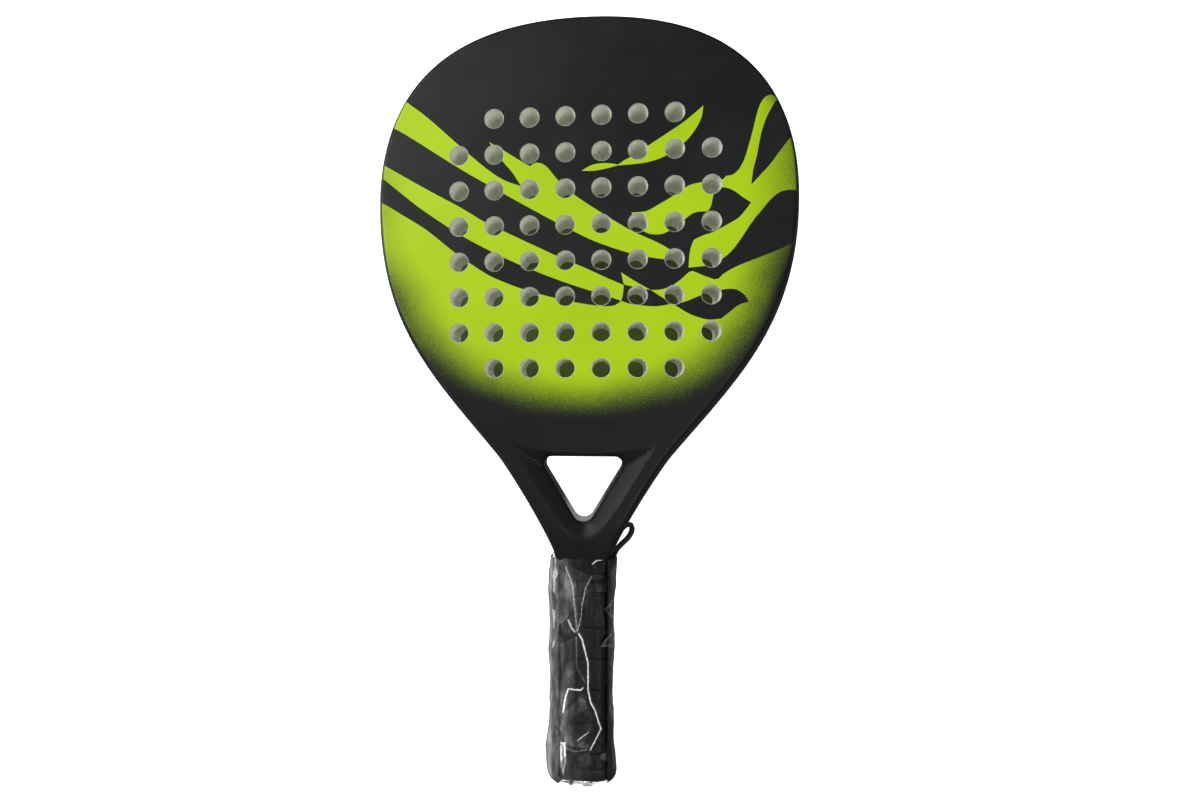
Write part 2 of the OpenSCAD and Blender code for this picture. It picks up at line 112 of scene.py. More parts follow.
class Nodes:
    """Short calls for building one material's node tree."""

    def __init__(self, name):
        self.material = bpy.data.materials.new(name)
        self.material.use_nodes = True
        self.tree = self.material.node_tree
        self.tree.nodes.clear()
        self.output = self.tree.nodes.new("ShaderNodeOutputMaterial")

    def feed(self, socket, value):
        if isinstance(value, bpy.types.NodeSocket):
            self.tree.links.new(value, socket)
        else:
            socket.default_value = value

    def node(self, kind, **inputs):
        made = self.tree.nodes.new("ShaderNode" + kind)
        for key, value in inputs.items():
            self.feed(made.inputs[key.replace("_", " ")], value)
        return made

    def math(self, operation, a, b=0.0, clamp=False):
        made = self.tree.nodes.new("ShaderNodeMath")
        made.operation = operation
        made.use_clamp = clamp
        self.feed(made.inputs[0], a)
        self.feed(made.inputs[1], b)
        return made.outputs[0]

    def ramp(self, value, low, high, to_low=0.0, to_high=1.0, smooth=True):
        made = self.tree.nodes.new("ShaderNodeMapRange")
        made.interpolation_type = "SMOOTHSTEP" if smooth else "LINEAR"
        for key, v in (("Value", value), ("From Min", low), ("From Max", high),
                       ("To Min", to_low), ("To Max", to_high)):
            self.feed(made.inputs[key], v)
        return made.outputs[0]

    def mix(self, factor, a, b, blend="MIX"):
        made = self.tree.nodes.new("ShaderNodeMix")
        made.data_type = "RGBA"
        made.blend_type = blend
        self.feed(made.inputs[0], factor)
        self.feed(made.inputs[6], a)
        self.feed(made.inputs[7], b)
        return made.outputs[2]

    def place(self):
        return self.tree.nodes.new("ShaderNodeTexCoord").outputs["Object"]

    def xyz(self):
        made = self.node("SeparateXYZ", Vector=self.place())
        return made.outputs

    def noise(self, size_mm, detail=2.0, roughness=0.5, stretch=(1, 1, 1)):
        mapping = self.node("Mapping", Vector=self.place(), Scale=stretch)
        made = self.node("TexNoise", Vector=mapping.outputs[0], Scale=1 / (size_mm * MM),
                         Detail=detail, Roughness=roughness)
        return made.outputs["Fac"]

    def cells(self, size_mm, feature="F1", output="Distance"):
        made = self.node("TexVoronoi", Vector=self.place(), Scale=1 / (size_mm * MM))
        made.feature = feature
        return made.outputs[output]

    def bump(self, height, depth_mm, strength=1.0, under=None):
        made = self.node("Bump", Height=height, Distance=depth_mm * MM, Strength=strength)
        if under is not None:
            self.feed(made.inputs["Normal"], under)
        return made.outputs[0]

    def finish(self, **inputs):
        shader = self.node("BsdfPrincipled", **inputs)
        self.tree.links.new(shader.outputs[0], self.output.inputs["Surface"])
        return self.material


BLACK = (0.0095, 0.0095, 0.0100, 1)
BLACK_WORN = (0.0135, 0.0135, 0.0145, 1)
LIME = (0.395, 0.585, 0.008, 1)
LIME_DEEP = (0.36, 0.54, 0.007, 1)


def lacquer_surface(n, colour):
    """Satin lacquer: fine orange peel, faint dust and slightly uneven gloss."""
    peel = n.bump(n.noise(1.1, 3), 0.012, 0.5)
    grain = n.bump(n.noise(0.16, 2), 0.004, 0.5, peel)
    rough = n.ramp(n.noise(14, 4), 0.3, 0.7, 0.40, 0.47)
    shader = n.node("BsdfPrincipled", Base_Color=colour, Roughness=rough, Normal=grain)
    shader.inputs["Specular IOR Level"].default_value = 0.13
    n.tree.links.new(shader.outputs[0], n.output.inputs["Surface"])
    return n.material


def black_lacquer():
    n = Nodes("lacquer_black")
    uneven = n.ramp(n.noise(45, 3), 0.35, 0.65)
    colour = n.mix(uneven, BLACK, BLACK_WORN)
    dust = n.ramp(n.noise(0.5, 1), 0.78, 0.83, 0.0, 0.5)
    return lacquer_surface(n, n.mix(dust, colour, (0.05, 0.05, 0.05, 1)))


FADE_CENTRE = 300.0
FADE_LOW = 74.0
FADE_SIDE = 104.0
RIM_HEIGHT = 324.0
RIM_LENGTH = 131.0


def lime_lacquer():
    """Lime that fades to black near the foot, as sprayed on: a fine spatter. Towards the right rim it also
    turns black: painted shade, spattered the same way.
    """
    n = Nodes("lacquer_lime")
    x, _, z = n.xyz()
    to_mm = 1 / MM
    height = n.math("ADD", n.math("MULTIPLY", z, to_mm), -BUTT_M * to_mm)
    across = n.math("MULTIPLY", x, to_mm)
    below = n.math("MAXIMUM", n.math("SUBTRACT", FADE_CENTRE, height), 0.0)
    low = n.math("DIVIDE", below, FADE_LOW)
    left = n.ramp(height, 285, 330, FADE_SIDE + 4, 138)
    right = n.ramp(height, 290, 345, FADE_SIDE - 2, 122)
    is_right = n.math("GREATER_THAN", across, 0.0)
    side = n.math("ADD", n.math("MULTIPLY", is_right, right),
                  n.math("MULTIPLY", n.math("SUBTRACT", 1.0, is_right), left))
    wide = n.math("DIVIDE", n.math("ABSOLUTE", across), side)
    radius = n.math("SQRT", n.math("ADD", n.math("POWER", low, 2.0), n.math("POWER", wide, 2.0)))
    wobble = n.math("MULTIPLY", n.math("SUBTRACT", n.noise(28, 2), 0.5), 0.10)
    spatter = n.math("MULTIPLY", n.math("SUBTRACT", n.noise(0.36, 2, 0.6), 0.5), 0.36)
    clump = n.math("MULTIPLY", n.math("SUBTRACT", n.noise(1.6, 2), 0.5), 0.03)
    band = n.ramp(radius, 0.74, 0.96)
    soft = n.math("ADD", radius, n.math("ADD", wobble, n.math("MULTIPLY", band,
                  n.math("ADD", spatter, clump))))
    # Painted shade: the lime darkens towards the right rim of the head, on the side away from the key
    # light.
    rim_x = n.math("POWER", n.math("DIVIDE", n.math("MAXIMUM", across, 0.0), HALF_WIDTH), 2.0)
    rim_z = n.math("POWER", n.math("DIVIDE", n.math("SUBTRACT", height, RIM_HEIGHT), RIM_LENGTH), 2.0)
    rim = n.math("SQRT", n.math("ADD", rim_x, rim_z))
    beside = n.ramp(across, 35, 70)
    start = n.ramp(height, 285, 375, 0.79, 0.955)
    speckled = n.math("ADD", rim, n.math("MULTIPLY", spatter, 0.12))
    right_rim_painted_shade = n.math("MULTIPLY", beside, n.ramp(speckled, start, n.math("ADD", start, 0.13)))
    side_band = n.tree.nodes.new("ShaderNodeAttribute")
    side_band.attribute_name = "rim"
    edge = n.math("MAXIMUM", right_rim_painted_shade, side_band.outputs["Fac"])
    # Sprayed darkening near the foot, together with the painted shade at the right rim and the black side
    # band.
    fade_and_painted_shade = n.math("MAXIMUM", n.ramp(soft, 0.75, 1.13), edge)
    uneven = n.ramp(n.noise(60, 3), 0.3, 0.7)
    lime = n.mix(uneven, LIME, LIME_DEEP)
    return lacquer_surface(n, n.mix(fade_and_painted_shade, lime, BLACK))


def cut_edge():
    n = Nodes("cut_edge")
    colour = n.mix(n.ramp(n.noise(0.6, 3), 0.3, 0.7), (0.30, 0.31, 0.26, 1), (0.52, 0.52, 0.47, 1))
    return n.finish(Base_Color=colour, Roughness=0.7, Normal=n.bump(n.noise(0.3, 2), 0.05))


def foam():
    """Closed-cell foam cut by a drill: pale skin, fine cells and a few torn ones."""
    n = Nodes("foam_cells")
    cells = n.cells(0.55)
    torn = n.ramp(n.noise(1.7, 3), 0.55, 0.75)
    base = n.mix(n.ramp(cells, 0.1, 0.7), (0.72, 0.73, 0.62, 1), (0.85, 0.86, 0.76, 1))
    colour = n.mix(torn, base, (0.62, 0.64, 0.52, 1))
    height = n.math("SUBTRACT", 1.0, cells)
    bump = n.bump(n.noise(1.2, 2), 0.10, 0.6, n.bump(height, 0.12, 0.7))
    return n.finish(Base_Color=colour, Roughness=0.85, Normal=bump)


def wrap_leather():
    """Cushioned wrap: soft pebble grain with faint creases and rubbed high places."""
    n = Nodes("grip_grain")
    grain = n.cells(0.9)
    fine = n.noise(0.35, 3)
    crease = n.noise(5, 4, 0.6, (1, 1, 3.5))
    bump = n.bump(grain, 0.10, 0.6, n.bump(crease, 0.35, 0.5, n.bump(fine, 0.05, 0.6)))
    worn = n.ramp(n.noise(9, 4), 0.4, 0.75)
    colour = n.mix(worn, (0.0035, 0.0035, 0.004, 1), (0.010, 0.010, 0.011, 1))
    rough = n.ramp(n.noise(4, 3), 0.3, 0.7, 0.42, 0.62)
    return n.finish(Base_Color=colour, Roughness=rough, Normal=bump, Specular_IOR_Level=0.2)


def stretch_tape():
    n = Nodes("stretch_tape")
    ribs = n.noise(1.1, 2, 0.5, (0.25, 0.25, 3))
    bump = n.bump(ribs, 0.10, 0.6, n.bump(n.noise(0.25, 2), 0.03))
    colour = n.mix(n.ramp(n.noise(7, 3), 0.4, 0.7), (0.004, 0.004, 0.004, 1), (0.009, 0.009, 0.010, 1))
    return n.finish(Base_Color=colour, Roughness=n.ramp(n.noise(3, 2), 0.3, 0.7, 0.38, 0.5),
                    Normal=bump, Specular_IOR_Level=0.25)


def moulded_black(name="moulded_black", tint=0.016):
    n = Nodes(name)
    texture = n.cells(0.45)
    bump = n.bump(texture, 0.03, 0.6, n.bump(n.noise(6, 2), 0.08, 0.3))
    dark = (tint, tint, tint * 1.05, 1)
    light = (tint * 1.7, tint * 1.7, tint * 1.75, 1)
    colour = n.mix(n.ramp(n.noise(8, 3), 0.4, 0.7), dark, light)
    return n.finish(Base_Color=colour, Roughness=n.ramp(n.noise(2, 2), 0.3, 0.7, 0.45, 0.6),
                    Normal=bump, Specular_IOR_Level=0.25)


def braid_thread():
    n = Nodes("braid_thread")
    fibres = n.noise(0.18, 3, 0.6)
    colour = n.mix(n.ramp(fibres, 0.35, 0.7), (0.007, 0.007, 0.008, 1), (0.026, 0.026, 0.028, 1))
    shader = n.node("BsdfPrincipled", Base_Color=colour, Roughness=0.72,
                    Normal=n.bump(fibres, 0.06, 0.8))
    shader.inputs["Sheen Weight"].default_value = 0.25
    shader.inputs["Sheen Roughness"].default_value = 0.4
    n.tree.links.new(shader.outputs[0], n.output.inputs["Surface"])
    return n.material


def inner_shell():
    n = Nodes("inner_shell")
    colour = n.mix(n.ramp(n.noise(3, 4), 0.35, 0.65), (0.10, 0.10, 0.09, 1), (0.20, 0.20, 0.18, 1))
    return n.finish(Base_Color=colour, Roughness=0.8, Normal=n.bump(n.cells(0.8), 0.1))


def clear_film():
    """Thin clear film: see-through face on, hazier where it stands edge on or is creased. Its colour
    carries painted light and shade: light grey on the left, near black on the right, a painted shade beside
    the grip's left edge, and a painted white highlight along the creases and in glint patches.
    """
    n = Nodes("clear_film")
    crease = n.tree.nodes.new("ShaderNodeAttribute")
    crease.attribute_name = "crease"
    haze_and_painted_light = n.tree.nodes.new("ShaderNodeAttribute")
    haze_and_painted_light.attribute_name = "haze_and_painted_light"
    facet = n.ramp(n.cells(8, output="Color"), 0.15, 0.85, 0.75, 1.25)
    cloud = n.math("MULTIPLY", facet, n.ramp(n.noise(7, 4, 0.6, (1, 1, 0.6)), 0.35, 0.75, 0.6, 1.3))
    veil = n.math("MULTIPLY", haze_and_painted_light.outputs["Fac"], cloud)
    marks = n.math("MULTIPLY", crease.outputs["Fac"], 1.1)
    cover = n.math("MINIMUM", n.math("ADD", n.math("ADD", veil, marks), 0.012), 0.97)
    wrinkle = n.bump(n.noise(2.6, 3, 0.55, (1, 1, 0.5)), 0.25, 0.35)
    # Painted highlight: the film turns white along creases and in glint patches.
    painted_highlight = n.ramp(crease.outputs["Fac"], 0.12, 0.55)
    # Painted light and shade: the film's colour runs from light grey on the left to near black on the
    # right, as the key light falls from the left.
    painted_side_light = n.ramp(n.xyz()[0], -13 * MM, 11 * MM)
    milky_and_painted_light = n.mix(painted_side_light, (0.30, 0.295, 0.29, 1), (0.014, 0.014, 0.015, 1))
    # Painted shade: darker grey where the film stands beside the grip's left edge.
    painted_shade_beside_grip = n.math("MULTIPLY", n.ramp(n.xyz()[0], -20.5 * MM, -17.5 * MM),
                         n.ramp(n.xyz()[0], -14.5 * MM, -12.5 * MM, 1.0, 0.0))
    milky_and_painted_light = n.mix(painted_shade_beside_grip, milky_and_painted_light, (0.085, 0.083, 0.08, 1))
    streaks = n.ramp(n.noise(3.5, 4, 0.6, (1, 1, 0.3)), 0.38, 0.66)
    uneven = n.mix(streaks, (0.55, 0.55, 0.55, 1), (1.5, 1.5, 1.5, 1))
    milky_and_painted_light = n.mix(1.0, milky_and_painted_light, uneven, "MULTIPLY")
    colour = n.mix(painted_highlight, milky_and_painted_light, (0.93, 0.93, 0.94, 1))
    white = n.node("BsdfPrincipled", Base_Color=colour, Roughness=0.16, Normal=wrinkle)
    clear = n.node("BsdfTransparent", Color=(0.97, 0.975, 0.98, 1))
    mixed = n.tree.nodes.new("ShaderNodeMixShader")
    n.feed(mixed.inputs[0], cover)
    n.tree.links.new(clear.outputs[0], mixed.inputs[1])
    n.tree.links.new(white.outputs[0], mixed.inputs[2])
    n.tree.links.new(mixed.outputs[0], n.output.inputs["Surface"])
    return n.material


WORLD_LIGHT = 0.15


def set_world():
    world = bpy.data.worlds.new("studio")
    bpy.context.scene.world = world
    world.use_nodes = True
    tree = world.node_tree
    tree.nodes.clear()
    path = tree.nodes.new("ShaderNodeLightPath")
    seen = tree.nodes.new("ShaderNodeBackground")
    seen.inputs["Strength"].default_value = 1.0
    seen.inputs["Color"].default_value = (1, 1, 1, 1)
    light = tree.nodes.new("ShaderNodeBackground")
    light.inputs["Strength"].default_value = WORLD_LIGHT
    light.inputs["Color"].default_value = (1, 1, 1, 1)
    mixed = tree.nodes.new("ShaderNodeMixShader")
    output = tree.nodes.new("ShaderNodeOutputWorld")
    tree.links.new(path.outputs["Is Camera Ray"], mixed.inputs[0])
    tree.links.new(light.outputs[0], mixed.inputs[1])
    tree.links.new(seen.outputs[0], mixed.inputs[2])
    tree.links.new(mixed.outputs[0], output.inputs["Surface"])


SHADE_ACROSS = -2.0
SHADE_HEIGHT = 328.0
SHADE_LENGTH = 112.0
SHADE_WIDTH = 112.0
SHADE_POWER = 2.2


def backdrop_paper():
    """Pale back-lit paper, seen from the front only; behind the head its glow dies out and its colour turns
    dark grey: a painted shade of the head.
    """
    n = Nodes("backdrop_paper")
    x, _, z = n.xyz()
    across = n.math("DIVIDE", n.math("SUBTRACT", x, SHADE_ACROSS * MM), SHADE_WIDTH * MM)
    up = n.math("DIVIDE", n.math("SUBTRACT", z, BUTT_M + SHADE_HEIGHT * MM), SHADE_LENGTH * MM)
    away = n.math("ADD", n.math("POWER", n.math("ABSOLUTE", across), SHADE_POWER),
                  n.math("POWER", n.math("ABSOLUTE", up), SHADE_POWER))
    # Painted shade: 0 behind the head, where the paper turns dark grey and its glow stops, 1 on the open
    # paper.
    outside_painted_shade = n.ramp(away, 0.80, 1.0)
    pale = n.mix(n.noise(30, 3), (0.93, 0.93, 0.93, 1), (0.96, 0.96, 0.96, 1))
    colour = n.mix(outside_painted_shade, (0.20, 0.20, 0.19, 1), pale)
    diffuse = n.node("BsdfDiffuse", Color=colour)
    glow = n.node("Emission", Color=pale, Strength=n.math("MULTIPLY", outside_painted_shade, 1.15))
    paper = n.node("AddShader")
    n.tree.links.new(diffuse.outputs[0], paper.inputs[0])
    n.tree.links.new(glow.outputs[0], paper.inputs[1])
    clear = n.node("BsdfTransparent")
    path = n.tree.nodes.new("ShaderNodeLightPath")
    side = n.tree.nodes.new("ShaderNodeNewGeometry")
    hidden = n.math("MAXIMUM", side.outputs["Backfacing"],
                    n.math("SUBTRACT", 1.0, path.outputs["Is Camera Ray"]))
    mixed = n.tree.nodes.new("ShaderNodeMixShader")
    n.feed(mixed.inputs[0], hidden)
    n.tree.links.new(paper.outputs[0], mixed.inputs[1])
    n.tree.links.new(clear.outputs[0], mixed.inputs[2])
    n.tree.links.new(mixed.outputs[0], n.output.inputs["Surface"])
    return n.material


BACKDROP_GAP = 9.0


def make_stage():
    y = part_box("film_sleeve")[1].y + BACKDROP_GAP * MM
    reach = 3.0
    mesh = bpy.data.meshes.new("backdrop")
    mesh.from_pydata([(-reach, y, -reach), (reach, y, -reach), (reach, y, reach), (-reach, y, reach)],
                     [], [(0, 1, 2, 3)])
    backdrop = bpy.data.objects.new("backdrop", mesh)
    bpy.context.scene.collection.objects.link(backdrop)
    mesh.materials.append(backdrop_paper())


set_world()
make_stage()
M_BLACK = black_lacquer()
M_LIME = lime_lacquer()
M_CUT = cut_edge()
M_FOAM = foam()


def new_piece(name, points, faces, materials, body, replaced=(), smooth=True, normals=None,
              indices=None):
    """Mesh object from points in millimetres from the butt; it rides on a body."""
    points = np.asarray(points, float)
    mesh = bpy.data.meshes.new(name)
    placed = points * MM + np.array([0, 0, BUTT_M])
    mesh.from_pydata(placed.tolist(), [], [tuple(f) for f in faces])
    for material in materials:
        mesh.materials.append(material)
    if indices is not None:
        mesh.polygons.foreach_set("material_index", np.asarray(indices, np.int32))
    mesh.polygons.foreach_set("use_smooth", [smooth] * len(mesh.polygons))
    mesh.update()
    if normals is not None:
        mesh.normals_split_custom_set_from_vertices([tuple(v) for v in normals])
    made = bpy.data.objects.new(name, mesh)
    bpy.context.scene.collection.objects.link(made)
    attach(made, body)
    if replaced:
        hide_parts(*replaced)
    return made


def add_values(made, name, values):
    """One number at each vertex, which a material reads by name."""
    layer = made.data.attributes.new(name, "FLOAT", "POINT")
    layer.data.foreach_set("value", np.asarray(values, np.float32))


RIM_BLACK = 4.4
RIM_LIME = 6.4


# ---------------------------------------------------------------- outline and shape of the body

def smooth_step(low, high, v):
    t = np.clip((v - low) / (high - low), 0, 1)
    return t * t * (3 - 2 * t)


def mix(a, b, t):
    return a + (b - a) * t


def upward(degrees):
    return np.array([math.sin(math.radians(degrees)), math.cos(math.radians(degrees))])


def bezier(points, steps):
    t = np.linspace(0, 1, steps, endpoint=False)[:, None]
    p = [np.array(q, float) for q in points]
    return (1 - t) ** 3 * p[0] + 3 * (1 - t) ** 2 * t * p[1] + 3 * (1 - t) * t * t * p[2] + t ** 3 * p[3]


LEG_END = np.array([11.9, 106.0])
NECK = np.array([17.9, 134.6])
ARM_TOP = np.array([53.0, 194.0])
WIDEST = np.array([HALF_WIDTH, TIP - 110.0])
TOP = np.array([0.0, TIP])
BODY_FOOT = 116.0


def right_outline():
    neck = bezier([LEG_END, LEG_END + [0, 10], NECK - 10 * upward(15), NECK], 14)
    arm = bezier([NECK, NECK + 11 * upward(15), ARM_TOP - 11 * upward(40), ARM_TOP], 22)
    flank = bezier([ARM_TOP, ARM_TOP + 62 * upward(40), WIDEST - [0, 72], WIDEST], 44)
    crown = bezier([WIDEST, WIDEST + [0, 51], TOP + [103, 0], TOP], 52)
    return np.vstack([neck, arm, flank, crown, TOP[None]])


def mirrored(line):
    return line[::-1] * [-1, 1]


SIDE = right_outline()
OUTLINE = np.vstack([SIDE, mirrored(SIDE)[1:]])


def arc(centre, radius, start, end, steps):
    a = np.radians(np.linspace(start, end, steps))
    return np.array(centre) + radius * np.c_[np.cos(a), np.sin(a)]


TOP_CORNER = np.array([18.3, 189.0])
TOP_RADIUS = 5.0
LOW_CORNER = np.array([0.0, 161.5])
LOW_RADIUS = 6.5
SIDE_ANGLE = -31.04


def opening_loop(inset):
    """Throat opening's outline, moved outwards by inset."""
    right = np.vstack([arc(LOW_CORNER, LOW_RADIUS + inset, -90, SIDE_ANGLE, 10),
                       arc(TOP_CORNER, TOP_RADIUS + inset, SIDE_ANGLE, 90, 14)])
    return np.vstack([right, mirrored(right)[:-1]])


def smooth_line(points, closed=False, step=2.0):
    """Curve through given points, with Catmull-Rom tangents."""
    p = np.array(points, float)
    n = len(p)
    line = []
    for i in range(n if closed else n - 1):
        a, b, c, d = (p[(i - 1) % n], p[i], p[(i + 1) % n], p[(i + 2) % n]) if closed else \
            (p[max(i - 1, 0)], p[i], p[i + 1], p[min(i + 2, n - 1)])
        count = max(1, int(round(np.linalg.norm(c - b) / step)))
        for k in range(count):
            t = k / count
            line.append(0.5 * (2 * b + (c - a) * t + (2 * a - 5 * b + 4 * c - d) * t * t
                               + (3 * b - a - 3 * c + d) * t ** 3))
    if not closed:
        line.append(p[-1])
    return np.array(line)


# Ridge round the scoop at the throat: lip under the face, down the arms, round below the opening
SCOOP_SIDE = [(0, 144.3), (6, 146), (11.5, 151), (17, 158.5), (23, 167.5), (32, 182), (41, 196.5),
              (44.5, 202), (43, 203.2), (37, 201), (28, 198.8), (15, 196.8), (0, 196.2)]
SCOOP = np.vstack([smooth_line(SCOOP_SIDE), mirrored(smooth_line(SCOOP_SIDE))[1:-1]])


def distance_to(points, line, closed=True):
    """Least distance from each point to a line, and the direction from its foot to the point."""
    a = line
    b = np.roll(line, -1, axis=0) if closed else line[1:]
    if not closed:
        a = line[:-1]
    best = np.full(len(points), np.inf)
    foot = np.zeros((len(points), 2))
    for s in range(0, len(a), 64):
        p0, d = a[s:s + 64], (b - a)[s:s + 64]
        rel = points[:, None, :] - p0[None]
        t = np.clip((rel * d[None]).sum(2) / (d * d).sum(1)[None], 0, 1)
        near = p0[None] + t[..., None] * d[None]
        gap = np.linalg.norm(points[:, None, :] - near, axis=2)
        k = gap.argmin(1)
        g = gap[np.arange(len(points)), k]
        closer = g < best
        best[closer] = g[closer]
        foot[closer] = near[np.arange(len(points)), k][closer]
    return best, foot


def inside(points, line):
    a, b = line, np.roll(line, -1, axis=0)
    hit = np.zeros(len(points), bool)
    for (x0, y0), (x1, y1) in zip(a, b):
        if y0 == y1:
            continue
        cross = ((y0 > points[:, 1]) != (y1 > points[:, 1])) & \
            (points[:, 0] < (x1 - x0) * (points[:, 1] - y0) / (y1 - y0) + x0)
        hit ^= cross
    return hit


def half_depth(z):
    return mix(9.2, HALF_THICKNESS, smooth_step(108, 158, z))


def side_bulge(z):
    return mix(0.9, 4.2, smooth_step(125, 215, z))


def edge_radius(z):
    return mix(4.6, 2.6, smooth_step(140, 215, z))


def profile(d, z):
    """Half thickness at distance d in from the outline: bulged side, rounded edge, flat face."""
    h, s, r = half_depth(z), side_bulge(z), edge_radius(z)
    start = np.arctan(2 * s / (h - r))
    side_top = h - r * (1 - np.sin(start))
    turn = np.arccos(np.clip(np.cos(start) - (d - s) / r, 0, 1))
    on_arc = side_top + r * (np.sin(turn) - np.sin(start))
    return np.where(d < s, side_top * np.sqrt(np.clip(d / s, 0, 1)), np.minimum(on_arc, h))


def profile_steps(z):
    """Distances in from the outline at which the section has a row of points."""
    s, r = side_bulge(z), edge_radius(z)
    start = np.arctan(2 * s / (half_depth(z) - r))
    on_side = [s * f * f for f in (0.0, 0.2, 0.4, 0.6, 0.8, 1.0)]
    turns = [start + (np.pi / 2 - start) * f for f in (0.2, 0.4, 0.6, 0.8, 1.0)]
    return on_side + [s + r * (np.cos(start) - np.cos(t)) for t in turns]


OPENING_EDGE = 1.6
SCOOP_DEPTH = 10.0
SCOOP_SLOPE = 0.9


def front_height(points):
    """How far the front surface stands before the middle plane, at points (x, z)."""
    x, z = points[:, 0], points[:, 1]
    d, _ = distance_to(points, OUTLINE, closed=False)
    height = profile(d, z)
    near = (z > 138) & (z < 208) & (np.abs(x) < 50)
    if near.any():
        q = points[near]
        e, _ = distance_to(q, opening_loop(0))
        s, _ = distance_to(q, SCOOP)
        s = np.where(inside(q, SCOOP), s, 0.0)
        t = s / np.maximum(s + e, 1e-6)
        deep = SCOOP_DEPTH * (1 - np.exp(-SCOOP_SLOPE * (s + e) / SCOOP_DEPTH))
        drop = deep * t ** 1.2
        rim = np.clip(1 - e / OPENING_EDGE, 0, 1)
        height[near] -= drop + OPENING_EDGE * (1 - np.sqrt(1 - rim ** 2))
    return height


def front_normals(points):
    """Unit normals (x, y, z) of the front surface, which looks along -Y."""
    h = 0.04
    gx = (front_height(points + [h, 0]) - front_height(points - [h, 0])) / (2 * h)
    gz = (front_height(points + [0, h]) - front_height(points - [0, h])) / (2 * h)
    normal = np.c_[-gx, -np.ones(len(points)), -gz]
    d, foot = distance_to(points, OUTLINE, closed=False)
    z = points[:, 1]
    s = side_bulge(z)
    side_top = half_depth(z) - edge_radius(z) * 0.75
    on_side = d < 0.75 * s
    out = foot - points
    length = np.linalg.norm(out, axis=1)
    flat = length < 1e-3
    if flat.any():
        tangent = outline_way(points[flat])
        out[flat] = np.c_[tangent[:, 1], -tangent[:, 0]]
        length[flat] = 1
    out = out / length[:, None]
    slope = 2 * np.sqrt(s * np.maximum(d, 0)) / side_top
    side = np.c_[out[:, 0], -slope, out[:, 1]]
    normal[on_side] = side[on_side]
    return normal / np.linalg.norm(normal, axis=1)[:, None]


def outline_way(points):
    """Direction of the outline at points on it, going up on the right and down on the left."""
    way = np.gradient(OUTLINE, axis=0)
    way /= np.linalg.norm(way, axis=1)[:, None]
    near = np.linalg.norm(points[:, None] - OUTLINE[None], axis=2).argmin(1)
    return way[near]


# ---------------------------------------------------------------- graphic, in mm on the face

# Each outline is a list of strokes; each stroke is a smooth curve through its points, and
# strokes meet in corners. Lime shapes come first, then the black shapes that lie on them.
BEYOND = 150.0

STRIPE_TOP = [
    [(-125, 420), (-113, 411), (-102.5, 403), (-91, 394), (-66, 371.5), (-49.5, 358.5), (-36.5, 353)],
    [(-36.5, 353), (-41.5, 361), (-47, 367.5), (-55.5, 379.5)],
    [(-55.5, 379.5), (-48, 375), (-37, 368), (-31, 364.5)],
    [(-31, 364.5), (-28, 366.5), (-22, 364.5), (-14, 355), (-5, 347), (8, 338), (27, 326),
     (41.5, 319), (50, 314), (56, 308.5)],
    [(56, 308.5), (48, 308.5), (38, 310), (27, 312.5), (12.5, 317.5), (2, 322), (-16, 331.5),
     (-29.5, 339), (-46, 348.5), (-71.5, 363.5), (-98.5, 381), (-111.5, 389), (-130, 399)],
    [(-130, 399), (-125, 420)],
]
STRIPE_LOW = [
    [(-135, 377), (-117.5, 367), (-103, 358.5), (-89, 350.5), (-73.5, 342), (-58, 332.5),
     (-47, 327), (-29.5, 318.5), (-16, 312), (2, 304), (12.5, 299), (23.5, 294)],
    [(23.5, 294), (23, 288.5), (22, 285)],
    [(22, 285), (16.5, 287), (4.5, 291), (-11.5, 296.5), (-29, 303.5), (-47, 311.5), (-70.5, 324),
     (-94, 339.5), (-107.5, 350), (-118.5, 359), (-135, 372)],
    [(-135, 372), (-135, 377)],
]
FIELD = [
    [(-135, 353), (-119.5, 345), (-108, 338), (-93, 328.5), (-75.5, 314.5), (-58, 302.5),
     (-48, 297.5), (-35, 292.5), (-16, 287), (0.5, 283.5), (12.5, 282), (18.5, 282.5), (22, 285)],
    [(22, 285), (28, 283), (41.5, 281.5), (51.5, 283)],
    [(51.5, 283), (45, 287), (39, 291)],
    [(39, 291), (43, 291), (48, 292), (53, 294.5), (57.5, 298), (61, 301.2), (63, 301.5),
     (68.5, 299), (75, 296.5)],
    [(75, 296.5), (77.5, 297), (80, 299.5), (87, 303.5), (97, 307.5), (105, 310.5), (113.5, 314),
     (120.5, 318), (135, 327)],
    [(135, 327), (BEYOND, 100), (-BEYOND, 100), (-135, 353)],
]
SLIVER = [
    [(22, 301.5), (29.5, 296.5), (39, 291)],
    [(39, 291), (33, 292.3), (26.5, 293.6), (23.5, 294.5)],
    [(23.5, 294.5), (22, 301.5)],
]
BRUSH = [
    [(-1, 361), (4.5, 364), (10.5, 365), (16.5, 364.6), (20, 363.8)],
    [(20, 363.8), (25, 367), (32, 370), (37, 374), (46.5, 380), (58, 387.5), (68.5, 396)],
    [(68.5, 396), (67.5, 389.5), (64, 382.5), (58, 375.5), (47, 368), (38, 365), (29.5, 363.9),
     (20, 363.4)],
    [(20, 363.4), (12.5, 361.7), (5.5, 360.7), (-1, 361)],
]
